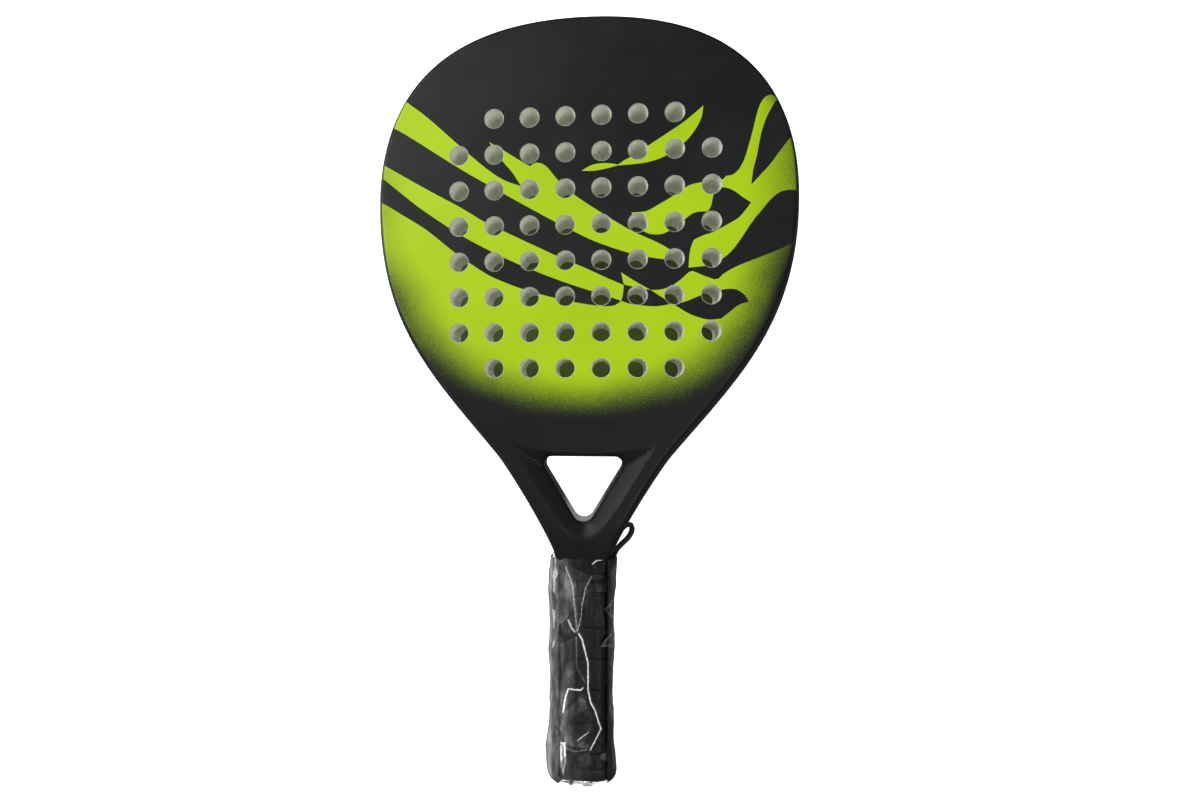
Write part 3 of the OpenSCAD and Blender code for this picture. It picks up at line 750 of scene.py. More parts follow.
PLUME = [
    [(130, 391), (109.5, 399.5), (105.5, 400.5), (102.5, 399), (100, 395), (98, 388.5), (96, 380),
     (93.5, 371), (91.5, 364.5), (88.5, 359), (85, 356), (81.5, 355.5), (79.5, 353.5), (74, 353),
     (63, 351.5), (58.5, 349.5), (50, 344), (43, 340), (36, 336.5), (28, 336)],
    [(28, 336), (29, 332.5), (31.5, 328), (35, 325), (38, 323.5), (41.5, 323), (46.5, 323.5),
     (51.5, 326.5), (58.5, 331.5), (62.5, 334.5), (66.5, 335.5), (71, 335.5)],
    [(71, 335.5), (73, 338.5), (74.5, 345.5), (76.5, 348.5), (79.5, 349), (82.5, 348.5),
     (86.5, 346.5), (91, 343), (95.5, 340)],
    [(95.5, 340), (92.5, 336), (88.5, 331.5), (83.5, 328.5), (74, 323.5), (69, 322), (63.5, 319.5)],
    [(63.5, 319.5), (62, 316), (61, 311), (60.5, 303.5)],
    [(60.5, 303.5), (71, 304.5), (76, 306), (80.5, 309), (84.5, 312.5), (88.5, 317.5),
     (96.5, 329.5), (101, 335), (105, 340), (109, 344), (113, 346), (118, 346.5), (122.5, 345.5),
     (135, 342)],
    [(135, 342), (BEYOND, 360), (130, 391)],
]
WEDGE = [
    [(124, 409), (110, 398), (107.5, 395), (104, 388.5), (101.5, 381.5), (100, 375), (98.5, 366.5),
     (96.5, 358.5), (95.5, 350)],
    [(95.5, 350), (101, 356), (106, 361.5), (111.5, 369), (118.5, 378), (130, 393)],
    [(130, 393), (124, 409)],
]
LEAF = [
    [(51.5, 283), (60, 277.5), (66, 275), (72, 273.5), (79, 274)],
    [(79, 274), (83.5, 277.5), (88.5, 281.5), (94.5, 283.5)],
    [(94.5, 283.5), (92, 287.5), (87.5, 290.5), (82.5, 291), (74.5, 289.5), (68.5, 288),
     (58.5, 284), (51.5, 283)],
]


def shape_line(strokes):
    return np.vstack([smooth_line(s)[:-1] for s in strokes])


LIME_SHAPES = [shape_line(s) for s in (STRIPE_TOP, STRIPE_LOW, FIELD, SLIVER, BRUSH, PLUME)]
BLACK_SHAPES = [shape_line(s) for s in (WEDGE, LEAF)]


# ---------------------------------------------------------------- body surface

HOLE_RADIUS = 5.5
HOLE_CHAMFER = 0.3
HOLE_PITCH = 21.0
HOLE_LOW = 246.0
HOLE_ROWS = 8
HOLE_SIDES = 40
HOLES = [((c - 3.5) * HOLE_PITCH, HOLE_LOW + r * HOLE_PITCH)
         for r in range(HOLE_ROWS) for c in range(HOLE_ROWS)
         if not (r in (0, HOLE_ROWS - 1) and c in (0, HOLE_ROWS - 1))]
SKIN_FOOT = 208.0


def inward_of_outline():
    way = np.gradient(OUTLINE, axis=0)
    way /= np.linalg.norm(way, axis=1)[:, None]
    return np.c_[-way[:, 1], way[:, 0]]


def skin_edge():
    """Joint between face skin and frame: inside the rounded edge, closed across the throat."""
    side = SIDE[SIDE[:, 1] > SKIN_FOOT]
    way = np.gradient(side, axis=0)
    way /= np.linalg.norm(way, axis=1)[:, None]
    right = side + 7.0 * np.c_[-way[:, 1], way[:, 0]]
    right[-1] = [0, TIP - 7.0]
    foot = smooth_line([(-right[0][0], right[0][1]), (0, SKIN_FOOT - 5), tuple(right[0])], step=4)
    return np.vstack([right, mirrored(right)[1:-1], foot[:-1]])


def body_triangles():
    """Triangles of the body seen from the front, cut along every outline that matters."""
    points, edges = [], []

    def add(line, closed):
        start = len(points)
        points.extend(map(tuple, line))
        count = len(line)
        edges.extend((start + i, start + (i + 1) % count) for i in range(count if closed else count - 1))

    inward = inward_of_outline()
    steps = np.array([profile_steps(z) for z in OUTLINE[:, 1]])
    for k in range(steps.shape[1]):
        add(OUTLINE + inward * steps[:, k:k + 1], False)
    for inset in (0.0, 0.12, 0.45, 0.95, OPENING_EDGE):
        add(opening_loop(inset), True)
    add(SCOOP, True)
    skin = skin_edge()
    add(skin, True)
    add([(-30, BODY_FOOT), (30, BODY_FOOT)], False)
    for x, z in HOLES:
        add(arc((x, z), HOLE_RADIUS + HOLE_CHAMFER, 0, 360, HOLE_SIDES + 1)[:-1], True)
    for line in LIME_SHAPES + BLACK_SHAPES:
        add(line, True)
    grid = np.array([(x + 0.75 * (j % 2), z) for j, z in enumerate(np.arange(BODY_FOOT + 1, 207, 1.3))
                     for x in np.arange(-58, 58, 1.5)])
    d, _ = distance_to(grid, OUTLINE, closed=False)
    e, _ = distance_to(grid, opening_loop(0))
    s, _ = distance_to(grid, SCOOP)
    keep = inside(grid, OUTLINE) & (d > 0.8) & (e > 0.5) & (s > 0.35) & ~inside(grid, opening_loop(0))
    points.extend(map(tuple, grid[keep]))

    out = geometry.delaunay_2d_cdt([Vector(p) for p in points], edges, [], 0, 1e-4)
    flat = np.array([tuple(v) for v in out[0]])
    tris = np.array([t for t in out[2] if len(t) == 3])
    middle = flat[tris].mean(1)
    keep = inside(middle, OUTLINE) & (middle[:, 1] > BODY_FOOT) & ~inside(middle, opening_loop(0))
    for x, z in HOLES:
        keep &= np.hypot(middle[:, 0] - x, middle[:, 1] - z) > HOLE_RADIUS + HOLE_CHAMFER - 0.03
    a, b, c = flat[tris[:, 0]], flat[tris[:, 1]], flat[tris[:, 2]]
    area = (b[:, 0] - a[:, 0]) * (c[:, 1] - a[:, 1]) - (c[:, 0] - a[:, 0]) * (b[:, 1] - a[:, 1])
    tris[area < 0] = tris[area < 0][:, ::-1]
    keep &= np.abs(area) > 1e-7
    tris, middle = tris[keep], middle[keep]
    lime = np.zeros(len(tris), bool)
    for line in LIME_SHAPES:
        lime |= inside(middle, line)
    for line in BLACK_SHAPES:
        lime &= ~inside(middle, line)
    return flat, tris, lime, inside(middle, skin)


def open_edges(tris):
    """Directed edges that only one triangle uses."""
    edges = {}
    for t in tris:
        for i in range(3):
            edges[(t[i], t[(i + 1) % 3])] = True
    return [e for e in edges if (e[1], e[0]) not in edges]


FLAT, TRIS, LIME_TRIS, SKIN_TRIS = body_triangles()
HEIGHT = front_height(FLAT)
NORMAL = front_normals(FLAT)


def used(tris):
    """Old indices of the points that the triangles use, and the triangles with new indices."""
    keep, renewed = np.unique(tris, return_inverse=True)
    return keep, renewed.reshape(tris.shape)


def make_skin(side, name, node):
    """Face skin as a closed sheet with drilled holes; side is -1 at the front, 1 at the back."""
    keep, tris = used(TRIS[SKIN_TRIS])
    lime = LIME_TRIS[SKIN_TRIS]
    flat, height, normal = FLAT[keep], HEIGHT[keep], NORMAL[keep] * [1, -side, 1]
    n = len(keep)
    points = np.c_[flat[:, 0], side * height, flat[:, 1]].tolist()
    normals = normal.tolist()
    faces, paint = [], []

    def face(f, material):
        faces.append(f if side < 0 else f[::-1])
        paint.append(material)

    for t, is_lime in zip(tris, lime):
        face((t[0], t[1], t[2]), 1 if is_lime else 0)
    inner = n
    points += np.c_[flat[:, 0], np.full(n, side * (HALF_THICKNESS - SKIN)), flat[:, 1]].tolist()
    normals += [[0, -side, 0]] * n
    for t in tris:
        face((inner + t[2], inner + t[1], inner + t[0]), 2)
    rings = {}
    for a, b in open_edges(tris):
        for v in (a, b):
            if v in rings:
                continue
            gaps = [math.hypot(flat[v][0] - x, flat[v][1] - z) for x, z in HOLES]
            k = int(np.argmin(gaps))
            if gaps[k] < HOLE_RADIUS + HOLE_CHAMFER + 0.05:
                x, z = HOLES[k]
                unit = (flat[v] - [x, z]) / gaps[k]
                px, pz = np.array([x, z]) + unit * HOLE_RADIUS
                rings[v] = (len(points), len(points) + 1)
                points.append([px, side * (HALF_THICKNESS - HOLE_CHAMFER), pz])
                points.append([px, side * (HALF_THICKNESS - SKIN), pz])
                slope = [-unit[0] * 0.7, side * 0.7, -unit[1] * 0.7]
                normals += [slope, [-unit[0], 0, -unit[1]]]
                points[inner + v] = [px, side * (HALF_THICKNESS - SKIN), pz]
            else:
                rings[v] = None
    for a, b in open_edges(tris):
        if rings[a] and rings[b]:
            face((b, a, rings[a][0], rings[b][0]), 2)
            face((rings[b][0], rings[a][0], inner + a, inner + b), 2)
        else:
            face((b, a, inner + a, inner + b), 2)
    new_piece(name, points, faces, [M_BLACK, M_LIME, M_CUT], "racket", (node,),
              normals=normals, indices=paint)


make_skin(-1, "face_front", "front_face")
make_skin(1, "face_back", "back_face")


def make_frame():
    """Rim, arms and neck in one closed moulding: front and back surfaces, joined at the outline,
    round the throat opening, at the foot and along the joint with the skins."""
    keep, tris = used(TRIS[~SKIN_TRIS])
    lime = LIME_TRIS[~SKIN_TRIS]
    flat, height, normal = FLAT[keep], HEIGHT[keep], NORMAL[keep]
    n = len(keep)
    points = np.vstack([np.c_[flat[:, 0], -height, flat[:, 1]], np.c_[flat[:, 0], height, flat[:, 1]]])
    normals = np.vstack([normal, normal * [1, -1, 1]]).tolist()
    points = points.tolist()
    faces, paint = [], []
    for t, is_lime in zip(tris, lime):
        material = 1 if is_lime else 0
        faces.append(tuple(t))
        faces.append((n + t[2], n + t[1], n + t[0]))
        paint += [material, material]
    d, _ = distance_to(flat, OUTLINE, closed=False)
    e, _ = distance_to(flat, opening_loop(0))
    walls = {}

    def wall_row(v, kind):
        """Points through the thickness at v, from the front edge to the back edge."""
        if v not in walls:
            if kind == "opening":
                middle = np.array([0, 172.0])
                out = middle - flat[v]
                out = out / np.linalg.norm(out)
                row = []
                for f in (0.0, 0.25, 0.5, 0.75, 1.0):
                    row.append(len(points))
                    points.append([flat[v][0], mix(-height[v], height[v], f), flat[v][1]])
                    normals.append([out[0], 0, out[1]])
            else:
                row = [v, n + v]
            walls[v] = row
        return walls[v]

    for a, b in open_edges(tris):
        if d[a] < 1e-3 and d[b] < 1e-3 and flat[a][1] > BODY_FOOT + 1e-3:
            continue
        kind = "opening" if e[a] < 0.02 and e[b] < 0.02 else "joint"
        ra, rb = wall_row(a, kind), wall_row(b, kind)
        for i in range(len(ra) - 1):
            faces.append((rb[i], ra[i], ra[i + 1], rb[i + 1]))
            paint.append(0)
    made = new_piece("frame_moulding", points, faces, [M_BLACK, M_LIME], "racket",
                     ("frame_tube", "throat_bridge", "handle_filler"), normals=normals, indices=paint)
    flat_made = np.asarray(points)[:, [0, 2]]
    reach, _ = distance_to(flat_made, OUTLINE, closed=False)
    add_values(made, "rim", 1 - smooth_step(RIM_BLACK, RIM_LIME, reach))


make_frame()

# ---------------------------------------------------------------- foam core

FOAM_ROUGHNESS = 0.10
FOAM_ROWS = [0, 0.15, 0.5, 1.2, 2.5, 4.5, 7, 10, 13.5, 18.1]


def make_foam():
    """Foam between the skins, with a slightly rough drilled wall in each hole."""
    keep, tris = used(TRIS[SKIN_TRIS])
    flat = FLAT[keep].copy()
    n = len(keep)
    half = HALF_THICKNESS - SKIN - 0.05
    on_hole = np.full(n, -1)
    for k, (x, z) in enumerate(HOLES):
        away = np.hypot(flat[:, 0] - x, flat[:, 1] - z)
        ring = away < HOLE_RADIUS + HOLE_CHAMFER + 0.05
        on_hole[ring] = k
        unit = (flat[ring] - [x, z]) / away[ring][:, None]
        flat[ring] = np.array([x, z]) + unit * HOLE_RADIUS
    rng = np.random.default_rng(11)
    points = np.c_[flat[:, 0], np.full(n, -half), flat[:, 1]].tolist()
    points += np.c_[flat[:, 0], np.full(n, half), flat[:, 1]].tolist()
    faces = [tuple(t) for t in tris] + [(n + t[2], n + t[1], n + t[0]) for t in tris]
    depths = [-half + r for r in FOAM_ROWS] + [half - r for r in FOAM_ROWS[-2::-1]]
    rows = {}

    def row(v):
        if v not in rows:
            if on_hole[v] < 0:
                rows[v] = [v, n + v]
            else:
                x, z = HOLES[on_hole[v]]
                unit = (flat[v] - [x, z]) / HOLE_RADIUS
                made = [v]
                for y in depths[1:-1]:
                    reach = HOLE_RADIUS + rng.uniform(0, FOAM_ROUGHNESS)
                    made.append(len(points))
                    points.append([x + unit[0] * reach, y, z + unit[1] * reach])
                rows[v] = made + [n + v]
        return rows[v]

    for a, b in open_edges(tris):
        ra, rb = row(a), row(b)
        if len(ra) != len(rb):
            ra, rb = [ra[0], ra[-1]], [rb[0], rb[-1]]
        for i in range(len(ra) - 1):
            faces.append((rb[i], ra[i], ra[i + 1], rb[i + 1]))
    new_piece("foam_core_drilled", points, faces, [M_FOAM], "racket", ("foam_core",))


make_foam()


# ---------------------------------------------------------------- handle

def box_radius(angles, half_width, half_depth_, corner):
    """Distance from the middle to a rounded box's edge, at each angle."""
    c, s = np.abs(np.cos(angles)), np.abs(np.sin(angles))
    inner = np.array([half_width - corner, half_depth_ - corner])
    along = c * inner[0] + s * inner[1]
    on_corner = along + np.sqrt(np.maximum(along ** 2 - (inner ** 2).sum() + corner ** 2, 0))
    on_width = half_width / np.maximum(c, 1e-9)
    on_depth = half_depth_ / np.maximum(s, 1e-9)
    reach = np.where(on_width * s <= inner[1], on_width, on_corner)
    return np.where(on_depth * c <= inner[0], on_depth, reach)


def rings_piece(name, rings, materials, body, replaced=(), closed=True, smooth=True):
    """Loft through rings of equal length, with a fan at each end when closed."""
    count = len(rings[0])
    points = np.vstack(rings)
    faces = []
    for i in range(len(rings) - 1):
        for j in range(count):
            a, b = i * count + j, i * count + (j + 1) % count
            faces.append((a, b, b + count, a + count))
    if closed:
        for ring, start, flip in ((rings[0], 0, True), (rings[-1], (len(rings) - 1) * count, False)):
            middle = len(points)
            points = np.vstack([points, ring.mean(0)])
            for j in range(count):
                a, b = start + j, start + (j + 1) % count
                faces.append((b, a, middle) if flip else (a, b, middle))
    return new_piece(name, points, faces, materials, body, replaced, smooth)


AROUND = 144
ANGLES = np.linspace(0, 2 * math.pi, AROUND, endpoint=False)
WRAP_PITCH = 19.0
WRAP_STEP = 0.5
WRAP_GROOVE = 0.35
WRAP_SEAM = 0.045
LIP_TOP = 8.0
FLARE_TOP = 24.0
GRIP_CORNER = 8.0
BUTT_CORNER = 11.0


def ring_at(radii, z):
    return np.c_[radii * np.cos(ANGLES), radii * np.sin(ANGLES), np.full(AROUND, z)]


def make_wrap():
    """Grip tape wound in a spiral: each turn lies on the edge of the one below it."""
    rings = []
    inset = 0.9
    for z in np.arange(LIP_TOP, GRIP_TOP + 0.01, 0.36):
        t = smooth_step(LIP_TOP - 4, FLARE_TOP + 4, z)
        width = mix(BUTT_HALF_WIDTH, GRIP_HALF_WIDTH, t) - inset + 0.6
        depth = mix(BUTT_HALF_DEPTH, GRIP_HALF_DEPTH, t) - inset + 0.6
        base = box_radius(ANGLES, width, depth, mix(BUTT_CORNER, GRIP_CORNER, t))
        slant = 1.6 * np.sin(ANGLES + 0.7) + 0.5 * np.sin(3 * ANGLES + z / 21)
        phase = ((z + slant) / WRAP_PITCH - ANGLES / (2 * math.pi)) % 1.0
        lift = WRAP_STEP * (1 - phase) * smooth_step(0, WRAP_SEAM, phase)
        groove = WRAP_GROOVE * np.exp(-((phase - 1.0) / (0.6 * WRAP_SEAM)) ** 2)
        pad = 0.18 * np.sin(math.pi * phase)
        rings.append(ring_at(base + lift + pad - groove, z))
    low, high = rings[0], rings[-1]
    rings = [low * [0.93, 0.93, 1], low] + rings[1:-1] + [high, high * [0.93, 0.93, 1]]
    rings_piece("grip_wrap_spiral", rings, [wrap_leather()], "racket", ("grip_tape",))


def make_finishing_tape():
    """Stretch tape over the top of the grip: two turns, drawn in where it leaves the grip."""
    rings = []
    low, high = 113.0, 123.5
    for z in np.arange(low, high + 0.01, 0.25):
        t = smooth_step(117.6, 121.5, z)
        base = box_radius(ANGLES, mix(16.3, 14.9, t), mix(14.8, 12.3, t), mix(8.6, 5.5, t))
        rim = 0.35 * (1 - smooth_step(low, low + 0.5, z)) + 0.3 * smooth_step(high - 0.5, high, z)
        turn = 0.22 * smooth_step(0.47, 0.53, ((z - low) / 10 + 0.04 * np.sin(ANGLES + 1)))
        wrinkle = 0.10 * np.sin(9 * ANGLES + 1.7 * z) * t
        rings.append(ring_at(base - rim + turn + wrinkle, z))
    first, last = rings[0] * [0.94, 0.94, 1], rings[-1] * [0.9, 0.9, 1]
    rings_piece("finishing_tape_band", [first] + rings + [last], [stretch_tape()], "racket",
                ("finishing_tape",))


def make_butt_cap():
    """Moulded cap: rounded lip, then a dish that takes the cord's end."""
    steps = []
    steps += [(LIP_TOP + 0.1, 1.2), (LIP_TOP, 0.25), (LIP_TOP - 0.35, 0.0), (5, 0.0)]
    lip_round = 2.0
    steps += [(lip_round * (1 - math.sin(a)), lip_round * (1 - math.cos(a)))
              for a in np.radians([0, 18, 36, 54, 72, 90])]
    steps += [(0.0, 3.0), (0.15, 3.6), (0.6, 3.95), (1.2, 4.0), (6.0, 4.1), (6.8, 4.7), (7.0, 5.6)]
    rings = []
    for z, inset in steps:
        corner = max(BUTT_CORNER - inset, 5.0)
        rings.append(ring_at(box_radius(ANGLES, BUTT_HALF_WIDTH - inset, BUTT_HALF_DEPTH - inset,
                                        corner), z))
    rings_piece("butt_cap_moulding", rings[::-1], [moulded_black("butt_moulding", 0.006)], "racket",
                ("butt_cap",))


make_wrap()
make_finishing_tape()
make_butt_cap()


# ---------------------------------------------------------------- packing film

FILM_SEAL = 6.3
FILM_BACK_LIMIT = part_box("film_sleeve")[1].y / MM - 0.05
FILM_STEP = 0.55
# Creases: width, strength and points; each lifts the film a little and carries a painted highlight along
# it.
CREASES = [
    (1.0, 0.42, [(-10, 128), (-7.5, 121.5), (-6, 116.5), (-5, 106), (-3.5, 90.5)]),
    (0.8, 0.48, [(5, 123), (1.5, 116), (-0.5, 106), (-1, 99), (-3, 90.5)]),
    (0.8, 1.0, [(-2.5, 89), (-0.5, 85.5), (1.5, 78), (3, 71), (3, 63.5), (3, 55.5), (4.5, 48),
                (7, 43.5), (10.5, 32.5)]),
    (0.9, 0.8, [(10.5, 32.5), (7.5, 26), (4.5, 20)]),
    (0.8, 0.3, [(-4, 87), (-3.7, 78), (-3.5, 69), (-0.5, 63), (1.5, 59.5)]),
    (0.8, 0.95, [(0, 56.5), (-1, 55.3), (-4.5, 55.2), (-8.5, 55.5), (-10.3, 49.5), (-11.5, 41.5)]),
    (0.6, 0.3, [(-17, 35), (-14, 32.5), (-11.5, 30)]),
    (0.8, 0.32, [(-16, 30), (-14, 25.5), (-10.5, 20.5), (-5, 19), (4, 20)]),
    (0.8, 0.6, [(-3, 25.5), (3.5, 30.5)]),
    (0.9, 0.7, [(5.5, 130.5), (8, 132.6), (11, 133)]),
    (0.5, 0.22, [(4.5, 20), (2.5, 12), (3.5, 4)]),
    (0.5, 0.18, [(-16.5, 98), (-12, 93), (-9, 88)]),
    (0.9, 0.8, [(-8.5, 97), (-6.4, 92), (-4.6, 90)]),
    (0.5, 0.6, [(-12.8, 21), (-12.4, 13)]),
    (0.7, 0.75, [(-10.4, 23), (-10.2, 16)]),
    (0.6, 0.35, [(-12, -1), (-7, 1.5), (-1, 0.2), (4, 1.0), (9, -0.5)]),
    (0.5, 0.3, [(1.5, -3.2), (5, -2.2), (7.5, -3.4)]),
]
# Patches: strength, width and outline; each makes the front hazier and carries a painted glint.
PATCHES = [
    (0.30, 3.5, [(12.2, 103.5), (19.5, 110), (19.5, 96), (15.5, 99)]),
    (0.34, 3.5, [(9.5, 80.5), (13, 86), (19.5, 92), (19.5, 78), (14, 81)]),
    (0.26, 2.5, [(12, 60), (17.5, 67), (18, 56)]),
    (0.22, 2.5, [(10, 15), (13, 22), (18, 26), (18.5, 11)]),
    (0.62, 1.6, [(-13.6, 23.5), (-10.0, 23.8), (-9.6, 12), (-11.5, 2.5), (-13.2, 9)]),
    (0.16, 5.0, [(-17, 119), (-9.5, 127), (-6.5, 116), (-5.2, 106), (-9, 98), (-17, 90)]),
    (0.10, 4.0, [(-9.5, 129), (4.5, 124), (1, 116), (-3.2, 92), (-5, 106)]),
    (0.13, 3.0, [(-11, 41), (-14.5, 30), (-10, 22), (4, 21), (10, 32), (6.5, 43), (-1, 52)]),
    (0.07, 3.0, [(-3.2, 88), (-14, 82), (-12, 60), (-3.5, 66)]),
]
PATCH_PAINTED_GLINT = 0.8
BACK_CLEARER = 0.72
MOST_COVER = 2.5


def film_edge(points, table):
    z, reach = np.array(table, float).T
    return np.interp(points, z, reach)


FILM_LEFT = [(-7, 12), (-5, 17), (-1, 20.6), (4, 22.4), (14, 22.9), (26, 21.4), (44, 20.2),
             (80, 20.2), (112, 20.8), (133, 19.4)]
FILM_RIGHT = [(-7, 11), (-4, 16.6), (1, 19.2), (14, 19.3), (26, 18.4), (44, 17.6), (80, 17.7),
              (112, 18.6), (133, 19.8)]
FILM_FRONT = [(-7, 0), (-3, 14.8), (1, 16.6), (10, 17.0), (26, 16.2), (60, 15.4), (110, 15.9),
              (133, 15.6)]
FILM_BACK = [(-7, 1.2), (-3, 19.5), (4, 21.2), (14, 21.8), (60, 21.9), (110, 21.9), (133, 21.6)]


def cell_distance(u, z, centres, period):
    """Distance to the nearest centre and to the second nearest, on a strip that closes in u."""
    first = np.full(u.shape, 1e9)
    second = np.full(u.shape, 1e9)
    for cu, cz in centres:
        du = (u - cu + period / 2) % period - period / 2
        d = np.hypot(du, z - cz)
        second = np.minimum(second, np.maximum(first, d))
        first = np.minimum(first, d)
    return first, second


def make_film():
    rng = np.random.default_rng(5)
    heights = np.concatenate([np.linspace(-FILM_SEAL, 0, 14)[:-1],
                              np.arange(0, FILM_TOP - 0.1, FILM_STEP), [FILM_TOP]])
    count = 236
    angles = np.linspace(0, 2 * math.pi, count, endpoint=False)
    period = 128.0
    u = (angles / (2 * math.pi) * period)[None, :].repeat(len(heights), 0)
    zz = heights[:, None].repeat(count, 1)
    big = [(rng.uniform(0, period), rng.uniform(-6, 140) * 0.62) for _ in range(70)]
    small = [(rng.uniform(0, period), rng.uniform(-6, 140) * 0.8) for _ in range(330)]
    b1, b2 = cell_distance(u, zz * 0.62, big, period)
    s1, s2 = cell_distance(u, zz * 0.8, small, period)
    crumple = 0.15 * (b1 - 4.5) + 0.07 * (s1 - 2.0)
    ridge = np.exp(-((b2 - b1) / 0.5) ** 2)
    c, s = np.cos(angles)[None], np.sin(angles)[None]
    left, right = film_edge(heights, FILM_LEFT)[:, None], film_edge(heights, FILM_RIGHT)[:, None]
    front, back = film_edge(heights, FILM_FRONT)[:, None], film_edge(heights, FILM_BACK)[:, None]
    wide = np.where(c < 0, left, right)
    deep = np.where(s < 0, front, back)
    power = 3.4
    radius = (np.abs(c / wide) ** power + np.abs(s / deep) ** power) ** (-1 / power)
    inward = np.clip((zz + 2.5) / 6, 0.05, 1)
    radius = radius + crumple * inward
    x, y = radius * c, radius * s
    y_front = ((s < 0) & (np.abs(c) < 0.93)).repeat(len(heights), 0)
    flat = np.c_[x.ravel(), zz.ravel()]
    crease = np.zeros(len(flat))
    lift = np.zeros(len(flat))
    broken = 0.78 + 0.22 * np.sin(zz.ravel() * 0.9 + 1.3 * np.sin(x.ravel() * 0.7)) ** 2
    for width, strength, line in CREASES:
        d, _ = distance_to(flat, np.array(line, float), closed=False)
        mark = np.exp(-(d / (0.5 * width)) ** 2)
        lift += 0.5 * np.exp(-d / (1.3 * width)) * strength
        crease = np.maximum(crease, mark * strength * broken)
    on_front = y_front.ravel().astype(float)
    facets = np.clip(1.25 - b1.ravel() / 9, 0.3, 1.3)
    # Partly the film's own milkiness, partly painted light and shade: hazier over the left half and
    # near-opaque bands at both sides where the film turns edge on, which the film's colour paints light on
    # the left and dark on the right; clearer in the middle of the right half and at the back, hazier at the
    # seal.
    haze_and_painted_light = 0.05 + 0.33 * smooth_step(3, 12, -flat[:, 0]) * facets
    haze_and_painted_light += 2.0 * smooth_step(13.8, 15.6, -flat[:, 0]) + 0.25 * smooth_step(18.5, 20, -flat[:, 0])
    haze_and_painted_light += 2.2 * smooth_step(14.2, 15.4, flat[:, 0])
    haze_and_painted_light += 0.05 * smooth_step(20, 4, flat[:, 1]) + 0.65 * smooth_step(1, -1.5, flat[:, 1])
    haze_and_painted_light *= 1 - 0.9 * smooth_step(4, 9, flat[:, 0]) * (1 - smooth_step(14, 15, flat[:, 0]))
    for strength, width, line in PATCHES:
        edge = np.array(line, float)
        d, _ = distance_to(flat, edge, closed=True)
        patch = inside(flat, edge) * np.clip(d / 0.5, 0, 1) * np.exp(-d / width)
        haze_and_painted_light += strength * patch * on_front
        crease += PATCH_PAINTED_GLINT * strength * patch
    # crease is a painted highlight: along the creases, in the glint patches and faintly on the crumple
    # ridges, on the front only.
    crease = crease * on_front + 0.05 * ridge.ravel()
    haze_and_painted_light *= 1 - BACK_CLEARER * smooth_step(0.0, 0.35, s.repeat(len(heights), 0).ravel())
    radius = radius.ravel() + lift * on_front
    points = np.c_[radius * c.repeat(len(heights), 0).ravel(),
                   radius * s.repeat(len(heights), 0).ravel(), zz.ravel()]
    points[:, 1] = np.minimum(points[:, 1] + 0.4, FILM_BACK_LIMIT)
    hem = 0.72 + 0.28 * np.sin(2.1 * points[:, 0] / 3.1 + np.sin(points[:, 0] * 0.9))
    points[:, 2] = np.where(points[:, 2] < 0, points[:, 2] * hem, points[:, 2])
    faces = []
    for i in range(len(heights) - 1):
        for j in range(count):
            a, b = i * count + j, i * count + (j + 1) % count
            faces.append((a, b, b + count, a + count))
    film = new_piece("packing_film", points, faces, [clear_film()], "sleeve",
                     ("film_sleeve",))
    add_values(film, "crease", np.clip(crease, 0, MOST_COVER))
    add_values(film, "haze_and_painted_light", np.clip(haze_and_painted_light, 0, MOST_COVER))


make_film()

# ---------------------------------------------------------------- wrist cord

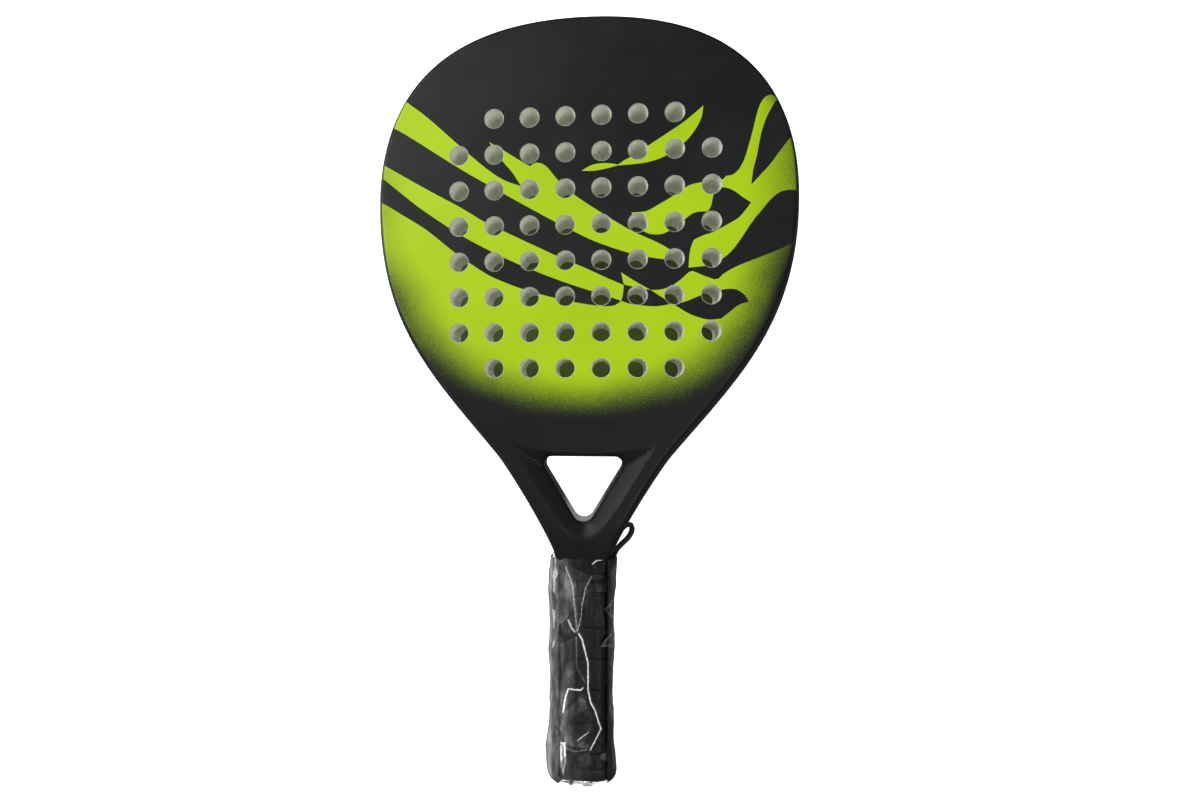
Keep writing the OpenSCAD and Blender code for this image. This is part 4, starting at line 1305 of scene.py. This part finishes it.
CORD_ROUTE = [
    (7.2, 3.5, 13.5), (7.2, 3.5, 9), (7.2, 3.5, 5.5), (7.2, 4.5, 1.9), (7.2, 7.1, -0.7),
    (7.2, 10.6, -1.6), (7.2, 14.2, -0.7), (7.2, 16.8, 1.9), (7.2, 17.8, 5.5), (7.2, 17.8, 12),
    (7.2, 17.8, 24), (7.2, 17.8, 40), (7.2, 17.8, 56), (7.2, 17.8, 72), (7.2, 17.8, 88),
    (7.2, 17.8, 100), (7.2, 17.8, 102), (10.4, 17.1, 112), (14.6, 15.3, 120), (17.8, 12.6, 127),
    (19.4, 9.9, 133.5), (22.8, 8.2, 138.2), (26.8, 7.8, 142.3), (29.4, 9.3, 146.6),
    (29.0, 13.2, 149.6), (26.4, 17.4, 149),
    (22.8, 19.1, 145.5), (18.6, 19.2, 139.5), (14.4, 19.2, 133.5), (9.5, 19.1, 126),
    (5.4, 18.6, 117), (3.2, 17.8, 106), (3.2, 17.8, 104), (3.2, 17.8, 88), (3.2, 17.8, 72), (3.2, 17.8, 56),
    (3.2, 17.8, 40), (3.2, 17.8, 24), (3.2, 17.8, 12), (3.2, 17.8, 5.5), (3.2, 16.8, 1.9),
    (3.2, 14.2, -0.7), (3.2, 10.6, -1.6), (3.2, 7.1, -0.7), (3.2, 4.5, 1.9), (3.2, 3.5, 5.5),
    (3.2, 3.5, 9), (3.2, 3.5, 13.5)]
CORD_DIAMETER = 3.5
CORD_SIDES = 28
BRAID_PITCH = 7.0
BRAID_STRANDS = 4
BRAID_DEPTH = 0.22


def make_cord():
    """Braided cord: strands cross over each other round a soft core."""
    line = smooth_line(CORD_ROUTE, step=0.45)
    way = np.gradient(line, axis=0)
    way /= np.linalg.norm(way, axis=1)[:, None]
    side = np.array([1.0, 0, 0])
    run = np.concatenate([[0], np.cumsum(np.linalg.norm(np.diff(line, axis=0), axis=1))])
    angles = np.linspace(0, 2 * math.pi, CORD_SIDES, endpoint=False)
    rings = []
    for p, w, t in zip(line, way, run):
        side = side - w * side.dot(w)
        side /= np.linalg.norm(side)
        up = np.cross(w, side)
        turn = 2 * math.pi * t / BRAID_PITCH
        one = np.abs(np.cos(BRAID_STRANDS * (angles + turn / BRAID_STRANDS) / 2))
        two = np.abs(np.cos(BRAID_STRANDS * (angles - turn / BRAID_STRANDS) / 2 + 0.8))
        radius = CORD_DIAMETER / 2 - BRAID_DEPTH * (1 - np.maximum(one, two))
        rings.append(p + radius[:, None] * (np.cos(angles)[:, None] * side
                                            + np.sin(angles)[:, None] * up))
    cord = rings_piece("wrist_cord_braid", rings, [braid_thread()], "racket",
                       ("wrist_cord",))


make_cord()


def finish_node(node, material):
    """A CAD node that keeps its shape gets its finish."""
    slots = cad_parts[node].material_slots
    for slot in slots:
        slot.material = material


finish_node("cord_slider", moulded_black("slider_moulding", 0.012))
finish_node("cord_knot", bpy.data.materials["braid_thread"])
finish_node("leg_plugs", moulded_black("plug_moulding", 0.02))
for shell in ("pallet_front", "pallet_back"):
    finish_node(shell, inner_shell())
